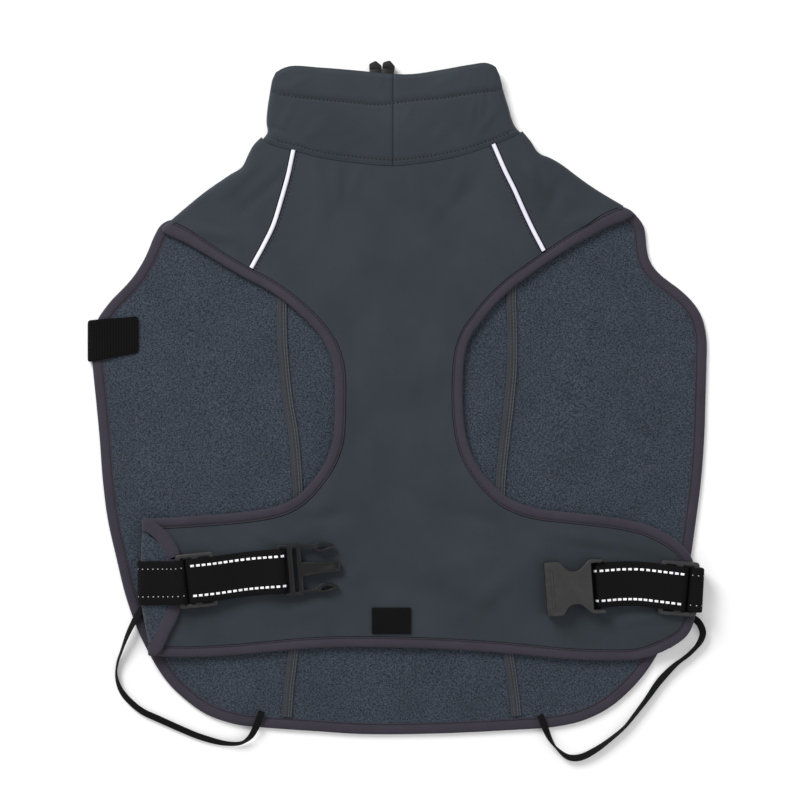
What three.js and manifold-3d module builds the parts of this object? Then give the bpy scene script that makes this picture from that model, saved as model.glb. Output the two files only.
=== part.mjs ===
// Sleeveless dog winter coat of softshell with fleece inside, laid flat on its back with the belly side up.
// Lengths are millimetres. X runs to the right as seen from above with the collar at the top,
// Y from the hem to the collar, and Z up from the table.
import * as THREE from "three";
import { mergeVertices } from "three/addons/utils/BufferGeometryUtils.js";
import Module from "manifold-3d";

const wasm = await Module();
wasm.setup();

// Cloth and trims
const cloth = 2;
const seamGap = 0.3;
const edgeGap = 0.6;
const bindingWidth = 6.2;
const bindingTipWidth = 8.2;
const bindingThick = 2.8;
const tapeWidth = 5.2;
const tapeThick = 0.6;
const pipingWidth = 2.5;
const pipingThick = 1.4;
const webWidth = 25;
const webThick = 1.4;
const elasticWidth = 4;

// Heights of the middle of each cloth layer above the table
const backHeight = cloth / 2;
const frontHeight = 4.7;
const neckHeight = 6;
const flapEndHeight = 5.8;
const flapRightHeight = 6.3;
const tipFoldRadius = 1.45;

// Centre lines of the binding, x and y, from the shoulder tip round the leg opening to the end of the flap
const legLeft = [
  [-131.4, 97.9], [-121, 93], [-110.5, 86.5], [-99.2, 79.3], [-87.8, 72.6], [-78, 67.6],
  [-67.8, 61.4], [-56.4, 52.3], [-45.5, 41.5], [-38.5, 31.5], [-35, 22], [-33.6, 12],
  [-33.5, 0], [-33.7, -12], [-34.9, -25], [-39, -36.5], [-45, -46], [-53, -55.3],
  [-60, -60.5], [-68, -64], [-76.4, -66], [-85, -67.3], [-100, -68.8], [-113.4, -69.8],
  [-130, -70.8], [-144.6, -71.4],
];
const legRight = [
  [129.3, 106.4], [120, 102.8], [109.5, 96.8], [97.5, 90], [86, 82.4], [74.7, 74.4],
  [63.3, 66], [52, 55.2], [44.5, 45.8], [38.6, 37.4], [35.4, 29], [34, 20], [33.5, 10],
  [33.4, 0], [34.2, -14], [36.6, -26.5], [40.2, -35.5], [45.2, -43.8], [52, -51.9],
  [60.5, -59], [70, -63.4], [80, -66], [97.5, -68], [115, -69.9], [128, -71.8],
  [140, -74.6], [151, -79.6], [160, -86], [164.6, -92.5], [166.4, -100], [166.5, -108],
  [166.5, -118], [165.6, -126], [162, -133.4], [153, -139.8],
];
// Lower edge of the flap, from its left fold to the right corner
const flapLower = [
  [-139.3, -143.4], [-130, -144.3], [-116, -144.5], [-93, -143.3], [-70.6, -141.2], [-48, -139.4],
  [-18, -138.8],
  [23.4, -139.9], [52, -141.6], [75, -143.6], [92, -145.3], [114.6, -146.4], [137.4, -145.6],
  [151.4, -140.5],
];
// Outer edge of the back, from the left shoulder tip round the hem to the right shoulder tip
const backEdge = [
  [-138.6, 96.8], [-141.4, 91], [-144.2, 84], [-147.5, 77.5], [-153.3, 68.8], [-159, 62.6],
  [-165, 56.4], [-170.8, 48.8], [-175, 41], [-176.6, 32], [-175.6, 18], [-173.8, 0],
  [-171.6, -23.4], [-169.9, -46.2], [-167, -69], [-161.9, -91.8], [-156.2, -114.6],
  [-147.6, -137.4], [-134.5, -160.2], [-124.8, -170.4], [-110.6, -180.7], [-93.5, -186.6],
  [-79, -188.3], [-45, -190.7], [-20, -192.2], [23.4, -191.8], [69, -189.6], [88, -188.2],
  [105, -184.6], [119.7, -177.6], [132, -167.5], [142, -156], [150, -143], [157, -128],
  [162, -112], [167, -91.8], [170.4, -69], [173.3, -46.2], [175.2, -20], [175.8, 0],
  [176.4, 22], [176.4, 34], [174, 46], [169.6, 54], [162.4, 61.6], [154.5, 67.6],
  [147.5, 73.6], [143.4, 80.4], [141.8, 88], [141.2, 95],
  [139.6, 100.8], [136, 105.2],
];
// Seams of the back, from the hem to the neck
const seamLeft = [
  [-64.2, -182.3], [-63, -166], [-60.7, -146], [-57.8, -110], [-57.2, -80], [-57.6, -58], [-59, -35],
  [-60.7, -18], [-63.6, -1], [-65.4, 15], [-66.8, 34], [-67, 56], [-66.5, 92], [-64, 151],
];
const seamRight = [
  [67.4, -182.6], [66.4, -172], [64.4, -157], [62, -142], [59.3, -110], [58.2, -75], [58.2, -49],
  [60, -29], [62.7, -6], [64.8, 17], [65, 34], [64.4, 56], [63.5, 92], [59, 152.6],
];
// Shoulder folds, outermost line, from the tip to the neck
const foldLeft = [
  [-129.8, 103], [-124, 108], [-111, 118.6], [-97.5, 127.6], [-89.6, 132.4], [-86.4, 138.6],
  [-83.6, 143.6], [-78.8, 148.2],
];
const foldRight = [
  [126.5, 111.8], [115, 118.6], [106, 124.6], [92.5, 134.6], [86, 138.2], [79.6, 140.8], [75.6, 146],
  [70.6, 151.6],
];
// Chest seams under the piping, from the neck to the leg opening
const chestLeft = [[-60.2, 142], [-63.3, 127.7], [-67.3, 113.4], [-71.8, 99.2], [-77.3, 87.8], [-83.2, 77]];
const chestRight = [[53.9, 145.4], [60.4, 130.5], [66.1, 119.1], [71.2, 107.7], [76.4, 96.8], [81.6, 86.8]];
// Collar: seam to the body, top edge, and the two side folds from the seam to the top
const collarSeam = [
  [-78.4, 148.4], [-73.5, 145.6], [-67.8, 143.6], [-61.6, 142.3], [-45, 137.9], [-27.9, 135.3],
  [-3.4, 133.2],
  [12, 134.6], [23.4, 136.4], [34.8, 138.9], [46.2, 142.4], [57.6, 146.6], [63.3, 149], [70.4, 151.9],
];
const collarTop = [
  [-72.6, 183], [-69, 187.2], [-62.1, 190], [-45, 189.2], [-25, 187.6], [-4, 185.6], [8, 185.5],
  [23.4, 187.8], [40.5, 190.8], [50, 191.8], [55.2, 189.4], [58, 183],
];
const collarFoldLeft = [
  [-78.4, 148.4], [-75.4, 152.6], [-76, 158], [-75.6, 165], [-74.6, 172], [-73.4, 179], [-72.6, 183],
];
const collarFoldRight = [
  [70.4, 151.9], [66.6, 156], [64.4, 161], [63, 166.4], [61.2, 172], [59.4, 178], [58, 183],
];
const collarCentre = -3.4;
// Hidden seam of the collar to the back
const backNeck = [
  [-75, 148.4], [-64, 151.2], [-30, 150.2], [0, 149.8], [30, 150.8], [59, 152.8], [67, 151.9],
];

// Soft raised creases of the front layer: end points, height and half width
const creases = [
  { from: [-36, -42], to: [-52, -76], height: 0.8, half: 9 },
  { from: [38, -46], to: [58, -80], height: 0.9, half: 9 },
  { from: [-20, 110], to: [-8, -20], height: 0.7, half: 18 },
  { from: [30, 96], to: [24, 0], height: 0.6, half: 14 },
  { from: [-14, -92], to: [44, -98], height: 0.8, half: 14 },
];

// Lines in plan are dense rows of points.
const point = (p) => new THREE.Vector2(p[0], p[1]);
const mix = (a, b, t) => a.clone().lerp(b, t);
const last = (line) => line[line.length - 1];
const ends = (line, a, b) => [a, ...line.slice(1, -1), b];
const ease = (t) => {
  const s = Math.min(1, Math.max(0, t));
  return s * s * (3 - 2 * s);
};

function smooth(table, step = 1) {
  const points = table.map((p) => new THREE.Vector3(p[0], p[1], 0));
  const curve = new THREE.CatmullRomCurve3(points, false, "centripetal");
  const count = Math.max(2, Math.ceil(curve.getLength() / step));
  return curve.getSpacedPoints(count).map((p) => new THREE.Vector2(p.x, p.y));
}

function direction(line, i) {
  return line[Math.min(line.length - 1, i + 1)].clone().sub(line[Math.max(0, i - 1)]).normalize();
}

// Moves a line to its left by a distance, which may depend on the point's share of the line.
function offset(line, distance) {
  return line.map((p, i) => {
    const d = direction(line, i);
    const by = typeof distance === "function" ? distance(i / (line.length - 1)) : distance;
    return new THREE.Vector2(p.x - d.y * by, p.y + d.x * by);
  });
}

function nearest(line, target) {
  let best = 0;
  line.forEach((p, i) => {
    if (p.distanceTo(target) < line[best].distanceTo(target)) best = i;
  });
  return best;
}

function between(line, a, b) {
  const i = nearest(line, point(a));
  const j = nearest(line, point(b));
  return i <= j ? line.slice(i, j + 1) : line.slice(j, i + 1).reverse();
}

function along(line, t) {
  const lengths = [0];
  for (let i = 1; i < line.length; i++) lengths.push(lengths[i - 1] + line[i].distanceTo(line[i - 1]));
  const target = t * lengths[lengths.length - 1];
  let i = 1;
  while (i < line.length - 1 && lengths[i] < target) i++;
  const share = (target - lengths[i - 1]) / Math.max(1e-9, lengths[i] - lengths[i - 1]);
  return mix(line[i - 1], line[i], Math.min(1, Math.max(0, share)));
}

// Height of a table line over x, by straight steps.
function yAt(line, x) {
  let i = 1;
  while (i < line.length - 1 && line[i][0] < x) i++;
  const t = (x - line[i - 1][0]) / (line[i][0] - line[i - 1][0]);
  return line[i - 1][1] + (line[i][1] - line[i - 1][1]) * t;
}

// Fills the area between four lines with rows of points.
// Bottom and top run the same way, left and right upwards.
function patch(bottom, top, left, right, columns, rows) {
  const result = [];
  for (let j = 0; j <= rows; j++) {
    const v = j / rows;
    const row = [];
    for (let i = 0; i <= columns; i++) {
      const u = i / columns;
      const across = along(left, v).multiplyScalar(1 - u).addScaledVector(along(right, v), u);
      const upward = along(bottom, u).multiplyScalar(1 - v).addScaledVector(along(top, u), v);
      const corners = along(bottom, 0).multiplyScalar((1 - u) * (1 - v))
        .addScaledVector(along(bottom, 1), u * (1 - v))
        .addScaledVector(along(top, 0), (1 - u) * v)
        .addScaledVector(along(top, 1), u * v);
      row.push(across.add(upward).sub(corners));
    }
    result.push(row);
  }
  return result;
}

function distanceToSegment(x, y, from, to) {
  const a = point(from);
  const ab = point(to).sub(a);
  const t = Math.min(1, Math.max(0, new THREE.Vector2(x, y).sub(a).dot(ab) / ab.lengthSq()));
  return { distance: a.addScaledVector(ab, t).distanceTo(new THREE.Vector2(x, y)), t };
}

// Height of the middle of the front layer.
function frontAt(x, y) {
  let z = frontHeight + (neckHeight - frontHeight) * ease((y - 95) / 45);
  z += (flapEndHeight - frontHeight) * ease((-104 - x) / 26) * ease((-40 - y) / 25);
  z += (flapRightHeight - frontHeight) * ease((x - 134) / 24) * ease((-60 - y) / 22);
  for (const crease of creases) {
    const { distance, t } = distanceToSegment(x, y, crease.from, crease.to);
    z += crease.height * (1 - ease(distance / crease.half)) * Math.sin(Math.PI * (0.12 + 0.76 * t));
  }
  return z;
}

// One grid point of a cloth: its middle, its outer direction and how far each face lies from the middle.
function knot(x, y, z, normal, outer = cloth / 2, inner = cloth / 2) {
  return { p: new THREE.Vector3(x, y, z), n: normal, outer, inner };
}

const up = new THREE.Vector3(0, 0, 1);
const down = new THREE.Vector3(0, 0, -1);

// Closes a grid of knots into a cloth. Cells that the mask leaves out stay open.
function sheet(rows, present = () => true) {
  const ids = new Map();
  const knots = [];
  const idOf = (k) => {
    const key = k.p.toArray().map((c) => Math.round(c * 1000)).join();
    if (!ids.has(key)) {
      ids.set(key, knots.length);
      knots.push(k);
    }
    return ids.get(key);
  };
  const faces = [];
  let facing = 0;
  for (let j = 0; j + 1 < rows.length; j++) {
    for (let i = 0; i + 1 < rows[j].length; i++) {
      if (!present(j, i)) continue;
      const corners = [rows[j][i], rows[j][i + 1], rows[j + 1][i + 1], rows[j + 1][i]];
      const [a, b, c, d] = corners.map(idOf);
      const normal = corners[1].p.clone().sub(corners[0].p).cross(corners[3].p.clone().sub(corners[0].p));
      facing += normal.dot(corners[0].n);
      const halves = (i + j) % 2 ? [[a, b, c], [a, c, d]] : [[a, b, d], [b, c, d]];
      faces.push(...halves.filter((f) => new Set(f).size === 3));
    }
  }
  const outerFaces = faces.map((f) => (facing < 0 ? [f[0], f[2], f[1]] : f));
  const edges = new Map();
  for (const [a, b, c] of outerFaces) {
    for (const pair of [[a, b], [b, c], [c, a]]) edges.set(pair.join(), pair);
  }
  const n = knots.length;
  const index = [];
  for (const [a, b, c] of outerFaces) index.push(a, b, c, c + n, b + n, a + n);
  for (const [a, b] of edges.values()) {
    if (edges.has([b, a].join())) continue;
    index.push(b, a, a + n, b, a + n, b + n);
  }
  const position = [];
  for (const k of knots) position.push(...k.p.clone().addScaledVector(k.n, k.outer).toArray());
  for (const k of knots) position.push(...k.p.clone().addScaledVector(k.n, -k.inner).toArray());
  return geometryOf(position, index);
}

function geometryOf(position, index) {
  const geometry = new THREE.BufferGeometry();
  geometry.setAttribute("position", new THREE.Float32BufferAttribute(position, 3));
  geometry.setIndex(index);
  geometry.computeVertexNormals();
  return geometry;
}

// Sweeps a flat strip: stations hold a point, the direction that the strip's face looks in and its width.
const bindingSection = [[-0.5, -0.5], [0.5, -0.5], [0.5, 0.1], [0.36, 0.5], [-0.36, 0.5], [-0.5, 0.1]];
const flatSection = [[-0.5, -0.5], [0.5, -0.5], [0.5, 0.5], [-0.5, 0.5]];
const roundSection = [[-0.5, -0.5], [0.5, -0.5], [0.42, 0.12], [0.18, 0.5], [-0.18, 0.5], [-0.42, 0.12]];

function strip(stations, section, thick) {
  const position = [];
  const index = [];
  const m = section.length;
  stations.forEach((s, i) => {
    const before = stations[Math.max(0, i - 1)].p;
    const after = stations[Math.min(stations.length - 1, i + 1)].p;
    const ahead = s.ahead ? s.ahead.clone() : after.clone().sub(before).normalize();
    const side = new THREE.Vector3().crossVectors(s.n, ahead).normalize();
    if (s.side) side.copy(s.side);
    for (const [a, b] of section) {
      const corner = s.p.clone().addScaledVector(side, -a * s.width).addScaledVector(s.n, b * thick);
      position.push(...corner.toArray());
    }
  });
  for (let i = 0; i + 1 < stations.length; i++) {
    for (let k = 0; k < m; k++) {
      const a = i * m + k;
      const b = i * m + ((k + 1) % m);
      index.push(a, b, a + m, b, b + m, a + m);
    }
  }
  const last = (stations.length - 1) * m;
  for (let k = 1; k + 1 < m; k++) {
    index.push(0, k + 1, k);
    index.push(last, last + k, last + k + 1);
  }
  return outward(geometryOf(position, index));
}

// Turns a closed geometry's faces to the outside.
function outward(geometry) {
  const p = geometry.attributes.position;
  const ix = geometry.index.array;
  let volume = 0;
  const [a, b, c] = [new THREE.Vector3(), new THREE.Vector3(), new THREE.Vector3()];
  for (let i = 0; i < ix.length; i += 3) {
    a.fromBufferAttribute(p, ix[i]);
    b.fromBufferAttribute(p, ix[i + 1]);
    c.fromBufferAttribute(p, ix[i + 2]);
    volume += a.dot(b.cross(c));
  }
  if (volume < 0) {
    for (let i = 0; i < ix.length; i += 3) [ix[i + 1], ix[i + 2]] = [ix[i + 2], ix[i + 1]];
  }
  return geometry;
}

const stationsOf = (line, heightAt, widthAt, lift = 0) =>
  line.map((p, i) => ({
    p: new THREE.Vector3(p.x, p.y, heightAt(p.x, p.y) + lift),
    n: up,
    width: widthAt(i / (line.length - 1)),
  }));

// Keeps the points of a dense line that its bends need: short steps on curves, longer ones on straights.
function thin(line, turn = 0.11, longest = 16) {
  const kept = [line[0]];
  let last = 0;
  for (let i = 1; i < line.length - 1; i++) {
    const bend = Math.abs(Math.atan2(
      direction(line, last).x * direction(line, i).y - direction(line, last).y * direction(line, i).x,
      direction(line, last).dot(direction(line, i)),
    ));
    if (bend > turn || line[i].distanceTo(line[last]) > longest) {
      if (line[i].distanceTo(line[last]) < 2.5) continue;
      kept.push(line[i]);
      last = i;
    }
  }
  kept.push(line[line.length - 1]);
  return kept;
}

const solids = new THREE.Group();
const softshell = { color: 0x3b434b, roughness: 0.8, metalness: 0 };
const bindingCloth = { color: 0x433d4b, roughness: 0.9, metalness: 0 };
const blackTape = { color: 0x151516, roughness: 0.95, metalness: 0 };
const whitePiping = { color: 0xe4e3ec, roughness: 0.5, metalness: 0 };
const plastic = { color: 0x3a3637, roughness: 0.45, metalness: 0 };

function add(name, geometry, look) {
  const mesh = new THREE.Mesh(geometry, new THREE.MeshStandardMaterial(look));
  mesh.name = name;
  solids.add(mesh);
  return mesh;
}

// Edges of the panels
const legLeftLine = smooth(legLeft);
const legRightLine = smooth(legRight);
const tipTaper = (t) => bindingWidth + (bindingTipWidth - bindingWidth) * (1 - ease(t / 0.12));
const legLeftCloth = offset(legLeftLine, (t) => tipTaper(t) / 2 + edgeGap);
const legRightCloth = offset(legRightLine, (t) => -tipTaper(t) / 2 - edgeGap);
const backCloth = offset(smooth(backEdge), bindingWidth + 1.7 * edgeGap);
const neckY = (x) => yAt(collarSeam, x) - seamGap;
const neckLine = [];
for (let x = -77; x < 70; x += 1) neckLine.push(new THREE.Vector2(x, neckY(x)));
const endAt = (line, y) => [...line.slice(0, -1), new THREE.Vector2(last(line).x, y)];
const atNeck = (line) => endAt(line, neckY(last(line).x));
const atBackNeck = (line) => endAt(line, yAt(backNeck, last(line).x) - 1.2 * edgeGap);

// A shoulder fold: its inner line, where the cloth leaves the arc, and the arc round each of its points.
function shoulder(table, inward) {
  const outerLine = smooth(table);
  const radiusAt = (p) => (frontAt(p.x, p.y) - backHeight) / 2;
  const inner = outerLine.map((p, i) => {
    const d = direction(outerLine, i);
    const n = new THREE.Vector2(-d.y * inward, d.x * inward);
    return p.clone().addScaledVector(n, radiusAt(p) + cloth / 2);
  });
  const arcAt = (t, steps, middle = backHeight) => {
    const c = along(inner, t);
    const a = along(inner, Math.max(0, t - 0.04));
    const b = along(inner, Math.min(1, t + 0.04));
    const d = b.sub(a).normalize();
    const n = new THREE.Vector2(-d.y * inward, d.x * inward);
    const top = frontAt(c.x, c.y);
    const radius = (top - middle) / 2;
    const knots = [];
    for (let k = 0; k <= steps; k++) {
      const angle = Math.PI * (k / steps - 0.5);
      const out = radius * Math.cos(angle);
      const normal = new THREE.Vector3(-n.x * Math.cos(angle), -n.y * Math.cos(angle), Math.sin(angle));
      const z = middle + radius * (1 + Math.sin(angle));
      knots.push(knot(c.x - n.x * out, c.y - n.y * out, z, normal));
    }
    return knots;
  };
  return { inner, arcAt };
}

const shiftX = (line, by) => line.map((p) => new THREE.Vector2(p.x + by, p.y));
const backRows = 22;

function sidePanel(side) {
  const { fold, chest, legCloth, seam, inward, gap, hemCorner, splitY, neckBack } = side;
  const shoulderFold = shoulder(fold, inward);
  const chestLine = atNeck(shiftX(smooth(chest).reverse(), gap));
  const seamLine = atBackNeck(shiftX(smooth(seam), gap));
  const c0 = shoulderFold.inner[0];
  const cK = last(shoulderFold.inner);
  const legEdge = ends(between(legCloth, c0.toArray(), chestLine[0].toArray()), c0, chestLine[0]);
  const neckEdge = ends(between(neckLine, cK.toArray(), last(chestLine).toArray()), cK, last(chestLine));
  const front = patch(legEdge, neckEdge, shoulderFold.inner, chestLine, 6, 9);
  const seamUpper = between(seamLine, [seamLine[0].x, splitY], neckBack);
  const seamLower = between(seamLine, seam[0], [seamUpper[0].x, splitY]);
  const edge = between(backCloth, hemCorner, side.tipCorner).concat([c0]);
  const hem = ends(between(backCloth, hemCorner, seamLower[0].toArray()), edge[0], seamLower[0]);
  const upper = patch([c0, last(seamLower)], [cK, last(seamUpper)], shoulderFold.inner, seamUpper, 5, 9);
  const lower = patch(hem, [c0, last(seamLower)], edge, seamLower, 5, backRows);
  const rows = [];
  const blank = knot(0, 0, backHeight, down);
  for (const row of lower.slice(0, -1)) {
    rows.push([...Array(12).fill(blank), ...row.map((p) => knot(p.x, p.y, backHeight, down))]);
  }
  upper.forEach((row, j) => {
    const t = j / 9;
    const frontPart = front[j].slice(1).reverse().map((p) => knot(p.x, p.y, frontAt(p.x, p.y), up));
    const arc = shoulderFold.arcAt(t, 6).reverse();
    rows.push([...frontPart, ...arc.slice(0, 6), ...row.map((p) => knot(p.x, p.y, backHeight, down))]);
  });
  return sheet(rows, (j, i) => j >= backRows || i >= 12);
}

const leftSide = {
  fold: foldLeft, chest: chestLeft, legCloth: legLeftCloth, seam: seamLeft, inward: -1, gap: -seamGap / 2,
  hemCorner: [-106, -176], tipCorner: [-134, 94], splitY: 92, neckBack: [-64, 151],
};
const rightSide = {
  fold: foldRight, chest: chestRight, legCloth: legRightCloth, seam: seamRight, inward: 1, gap: seamGap / 2,
  hemCorner: [100, -179], tipCorner: [131, 100], splitY: 92, neckBack: [59, 152.6],
};
add("back_side_left", sidePanel(leftSide), softshell);
add("back_side_right", sidePanel(rightSide), softshell);

// Back centre between the two seams, from the hem to the hidden neck line.
function backCentre() {
  const left = atBackNeck(shiftX(smooth(seamLeft), seamGap / 2));
  const right = atBackNeck(shiftX(smooth(seamRight), -seamGap / 2));
  const hem = between(backCloth, left[0].toArray(), right[0].toArray());
  const hemLeft = new THREE.Vector2(left[0].x, hem[0].y);
  const hemRight = new THREE.Vector2(right[0].x, last(hem).y);
  const lower = ends(hem, hemLeft, hemRight);
  const neck = [0, 1, 2, 3, 4, 5, 6].map((k) => {
    const x = last(left).x + (last(right).x - last(left).x) * (k / 6);
    return new THREE.Vector2(x, yAt(backNeck, x) - 1.2 * edgeGap);
  });
  const leftLine = ends(left, lower[0], neck[0]);
  const rightLine = ends(right, last(lower), last(neck));
  const rows = patch(lower, neck, leftLine, rightLine, 6, 14);
  return sheet(rows.map((row) => row.map((p) => knot(p.x, p.y, backHeight, down))));
}
add("back_centre", backCentre(), softshell);

// Inner line of the left tip's fold, the tip's edges on top from its end to the fold, and its binding
const tipFold = [[-140.4, -139.2], [-142.8, -127], [-144.3, -117], [-144.3, -80], [-143.8, -76.3]];
const tipLower = [[-132, -118.2], [-134.2, -122.3], [-138, -128.6], [-141.2, -134.2], [-140.4, -139.2]];
const tipUpper = [[-132, -91.8], [-133.4, -88.9], [-137, -83.9], [-142.6, -78.8], [-143.8, -76.3]];
const tipTopBinding = [[-143.8, -71.4], [-139, -74.4], [-133, -80.4], [-129, -86.2], [-127.8, -90]];
const tipLowBinding = [
  [-127.8, -91.4], [-127.6, -105], [-127.8, -119], [-129.8, -124.4], [-133.4, -131], [-136, -137],
  [-139.3, -143.4],
];

// Chest and belly in one grid: the chest's rows, then the flap's, which reach out to both ends.
function frontPanel() {
  const leftSeam = atNeck(shiftX(smooth(chestLeft).reverse(), seamGap / 2)).reverse();
  const rightSeam = atNeck(shiftX(smooth(chestRight).reverse(), -seamGap / 2)).reverse();
  const kneeLeft = [-57.5, -62];
  const kneeRight = [60, -62];
  const legL = between(legLeftCloth, last(leftSeam).toArray(), kneeLeft);
  const legR = between(legRightCloth, last(rightSeam).toArray(), kneeRight);
  const left = leftSeam.concat(legL.slice(1)).reverse();
  const right = rightSeam.concat(legR.slice(1)).reverse();
  const neckPart = between(neckLine, leftSeam[0].toArray(), rightSeam[0].toArray());
  const neck = ends(neckPart, leftSeam[0], rightSeam[0]);
  const waist = smooth([left[0].toArray(), [0, -64], right[0].toArray()]);
  const chestRows = patch(waist, neck, left, right, 10, 22);
  const foldLine = smooth(tipFold);
  const lowerEdge = offset(smooth(flapLower), bindingWidth / 2 + edgeGap);
  const endLine = legRightCloth.slice(nearest(legRightCloth, new THREE.Vector2(157, -92)));
  const lowerAt = (x) => lowerEdge[nearest(lowerEdge, new THREE.Vector2(x, -141))].toArray();
  const legEnd = ends(between(legLeftCloth, last(foldLine).toArray(), kneeLeft), last(foldLine), left[0]);
  const legEndRight = between(legRightCloth, kneeRight, endLine[0].toArray());
  const cut = (x) => point(lowerAt(x));
  const seamA = [cut(-50), left[0]];
  const seamB = [cut(58), right[0]];
  const corner = last(endLine);
  const hemLeft = ends(between(lowerEdge, tipFold[0], lowerAt(-50)), foldLine[0], seamA[0]);
  const hemMiddle = ends(between(lowerEdge, lowerAt(-50), lowerAt(58)), seamA[0], seamB[0]);
  const hemRight = ends(between(lowerEdge, lowerAt(58), corner.toArray()), seamB[0], corner);
  const legRightPart = ends(legEndRight, right[0], endLine[0]);
  const endUpwards = ends(endLine.slice().reverse(), corner, endLine[0]);
  const flapLeft = patch(hemLeft, legEnd, foldLine, seamA, 8, 9);
  const flapMiddle = patch(hemMiddle, waist, seamA, seamB, 10, 9);
  const flapRight = patch(hemRight, legRightPart, seamB, endUpwards, 9, 9);
  const tipEnd = [point(tipLower[0]), point(tipUpper[0])];
  const tip = patch(smooth(tipLower), smooth(tipUpper), tipEnd, foldLine, 3, 9);
  const flat = (p) => knot(p.x, p.y, frontAt(p.x, p.y), up);
  const rows = [];
  const blank = knot(0, 0, 0, up);
  for (let j = 0; j <= 9; j++) {
    const fold = along(foldLine, j / 9);
    const base = frontAt(fold.x, fold.y);
    const arc = [];
    for (let k = 1; k < 6; k++) {
      const angle = Math.PI * (0.5 - k / 6);
      const normal = new THREE.Vector3(Math.cos(angle), 0, -Math.sin(angle));
      const out = tipFoldRadius * Math.cos(angle);
      const rise = tipFoldRadius * (1 + Math.sin(angle));
      arc.push(knot(fold.x - out, fold.y, base + rise, normal));
    }
    const onTop = tip[j].map((p) => knot(p.x, p.y, base + 2 * tipFoldRadius, down));
    const across = [...flapLeft[j], ...flapMiddle[j].slice(1), ...flapRight[j].slice(1)];
    rows.push([...onTop, ...arc, ...across.map(flat)]);
  }
  const before = 4 + 5 + 8;
  for (let j = 1; j <= 22; j++) {
    rows.push([...Array(before).fill(blank), ...chestRows[j].map(flat), ...Array(9).fill(blank)]);
  }
  return sheet(rows, (j, i) => j < 9 || (i >= before && i < before + 10));
}
add("front_panel", frontPanel(), softshell);

// Collar: one cloth that runs from the centre-front seam round the neck and back to it.
function collar() {
  const left = smooth(collarFoldLeft);
  const right = smooth(collarFoldRight);
  const shares = [0, 0.14, 0.3, 0.46, 0.6, 0.7, 0.76, 0.88, 1];
  const rows = shares.map((v) => {
    const radius = (neckHeight - backHeight) / 2 + 0.45 * Math.sin(Math.PI * v);
    const a = along(left, v);
    const b = along(right, v);
    const inset = radius + cloth / 2;
    const outer = cloth / 2 + (v > 0.72 ? 0.6 : 0);
    const xFrom = a.x + inset;
    const xTo = b.x - inset;
    const frontY = (x) => yAt(collarSeam, x) * (1 - v) + yAt(collarTop, x) * v;
    const backY = (x) => yAt(backNeck, x) * (1 - v) + (yAt(collarTop, x) - 0.8) * v;
    const frontZ = backHeight + 2 * radius;
    const run = (from, to, count, knotAt) => {
      const part = [];
      for (let k = 0; k <= count; k++) part.push(knotAt(from + (to - from) * (k / count)));
      return part;
    };
    const turn = (x, foldY, facing, from, to) => run(from, to, 5, (angle) => {
      const share = Math.cos(angle) ** 2;
      const flatY = angle > 0 ? frontY(x) : backY(x);
      return knot(
        x + facing * radius * Math.cos(angle), flatY * (1 - share) + foldY * share,
        backHeight + radius * (1 + Math.sin(angle)),
        new THREE.Vector3(facing * Math.cos(angle), 0, Math.sin(angle)),
      );
    }).slice(1, -1);
    return [
      ...run(collarCentre + seamGap / 2, xTo, 8, (x) => knot(x, frontY(x), frontZ, up, outer)),
      ...turn(xTo, b.y, 1, Math.PI / 2, -Math.PI / 2),
      ...run(xTo, xFrom, 10, (x) => knot(x, backY(x), backHeight, down)),
      ...turn(xFrom, a.y, -1, -Math.PI / 2, Math.PI / 2),
      ...run(xFrom, collarCentre - seamGap / 2, 8, (x) => knot(x, frontY(x), frontZ, up, outer)),
    ];
  });
  return sheet(rows);
}
add("collar", collar(), softshell);

// Binding of the left leg opening: from the shoulder tip to the flap's end and over its folded tip.
function bindingLegLeft() {
  const tip = shoulder(foldLeft, -1);
  const start = legLeftLine[0];
  const round = foldStations(start, tip.inner, -1);
  const front = stationsOf(thin(legLeftLine), frontAt, tipTaper).slice(1);
  const fold = flapFoldStations(last(legLeftLine).y, -1);
  const diagonal = smooth(tipTopBinding).slice(1);
  const top = last(fold).p.z;
  const onTop = onTopStations(thin(diagonal, 0.3, 9), top);
  return strip([...round, ...front, ...fold.slice(1), ...onTop], bindingSection, bindingThick);
}

// Binding that lies on the folded tip, wrong side up.
function onTopStations(line, z) {
  return line.map((p) => ({ p: new THREE.Vector3(p.x, p.y, z), n: down, width: 7.4 }));
}

// Half turn of the binding round a shoulder fold, from below to above.
function foldStations(centre, inner, inward) {
  const d = direction(inner, 2);
  const n = new THREE.Vector2(-d.y * inward, d.x * inward);
  const low = bindingThick / 2;
  const high = frontAt(centre.x, centre.y);
  const radius = (high - low) / 2;
  const stations = [];
  for (let k = 0; k <= 6; k++) {
    const angle = Math.PI * (k / 6 - 0.5);
    const out = radius * Math.cos(angle);
    const sine = Math.sin(angle);
    stations.push({
      p: new THREE.Vector3(centre.x - n.x * out, centre.y - n.y * out, low + radius * (1 + sine)),
      n: new THREE.Vector3(-n.x * Math.cos(angle), -n.y * Math.cos(angle), sine),
      side: new THREE.Vector3(-n.y, n.x, 0),
      width: bindingTipWidth,
    });
  }
  return stations;
}

// Turn of the binding round the flap's folded end at a height y, from the flap up to the tip or back down.
function flapFoldStations(y, sense) {
  const centre = smooth(tipFold)[nearest(smooth(tipFold), new THREE.Vector2(-145, y))];
  const base = frontAt(centre.x, y);
  const stations = [];
  for (let k = 0; k <= 6; k++) {
    const angle = Math.PI * (0.5 - k / 6);
    const out = tipFoldRadius * Math.cos(angle);
    stations.push({
      p: new THREE.Vector3(centre.x - out, y, base + tipFoldRadius * (1 - Math.sin(angle))),
      n: new THREE.Vector3(Math.cos(angle), 0, Math.sin(angle)),
      side: new THREE.Vector3(0, sense, 0),
      width: bindingWidth,
    });
  }
  return stations;
}

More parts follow.
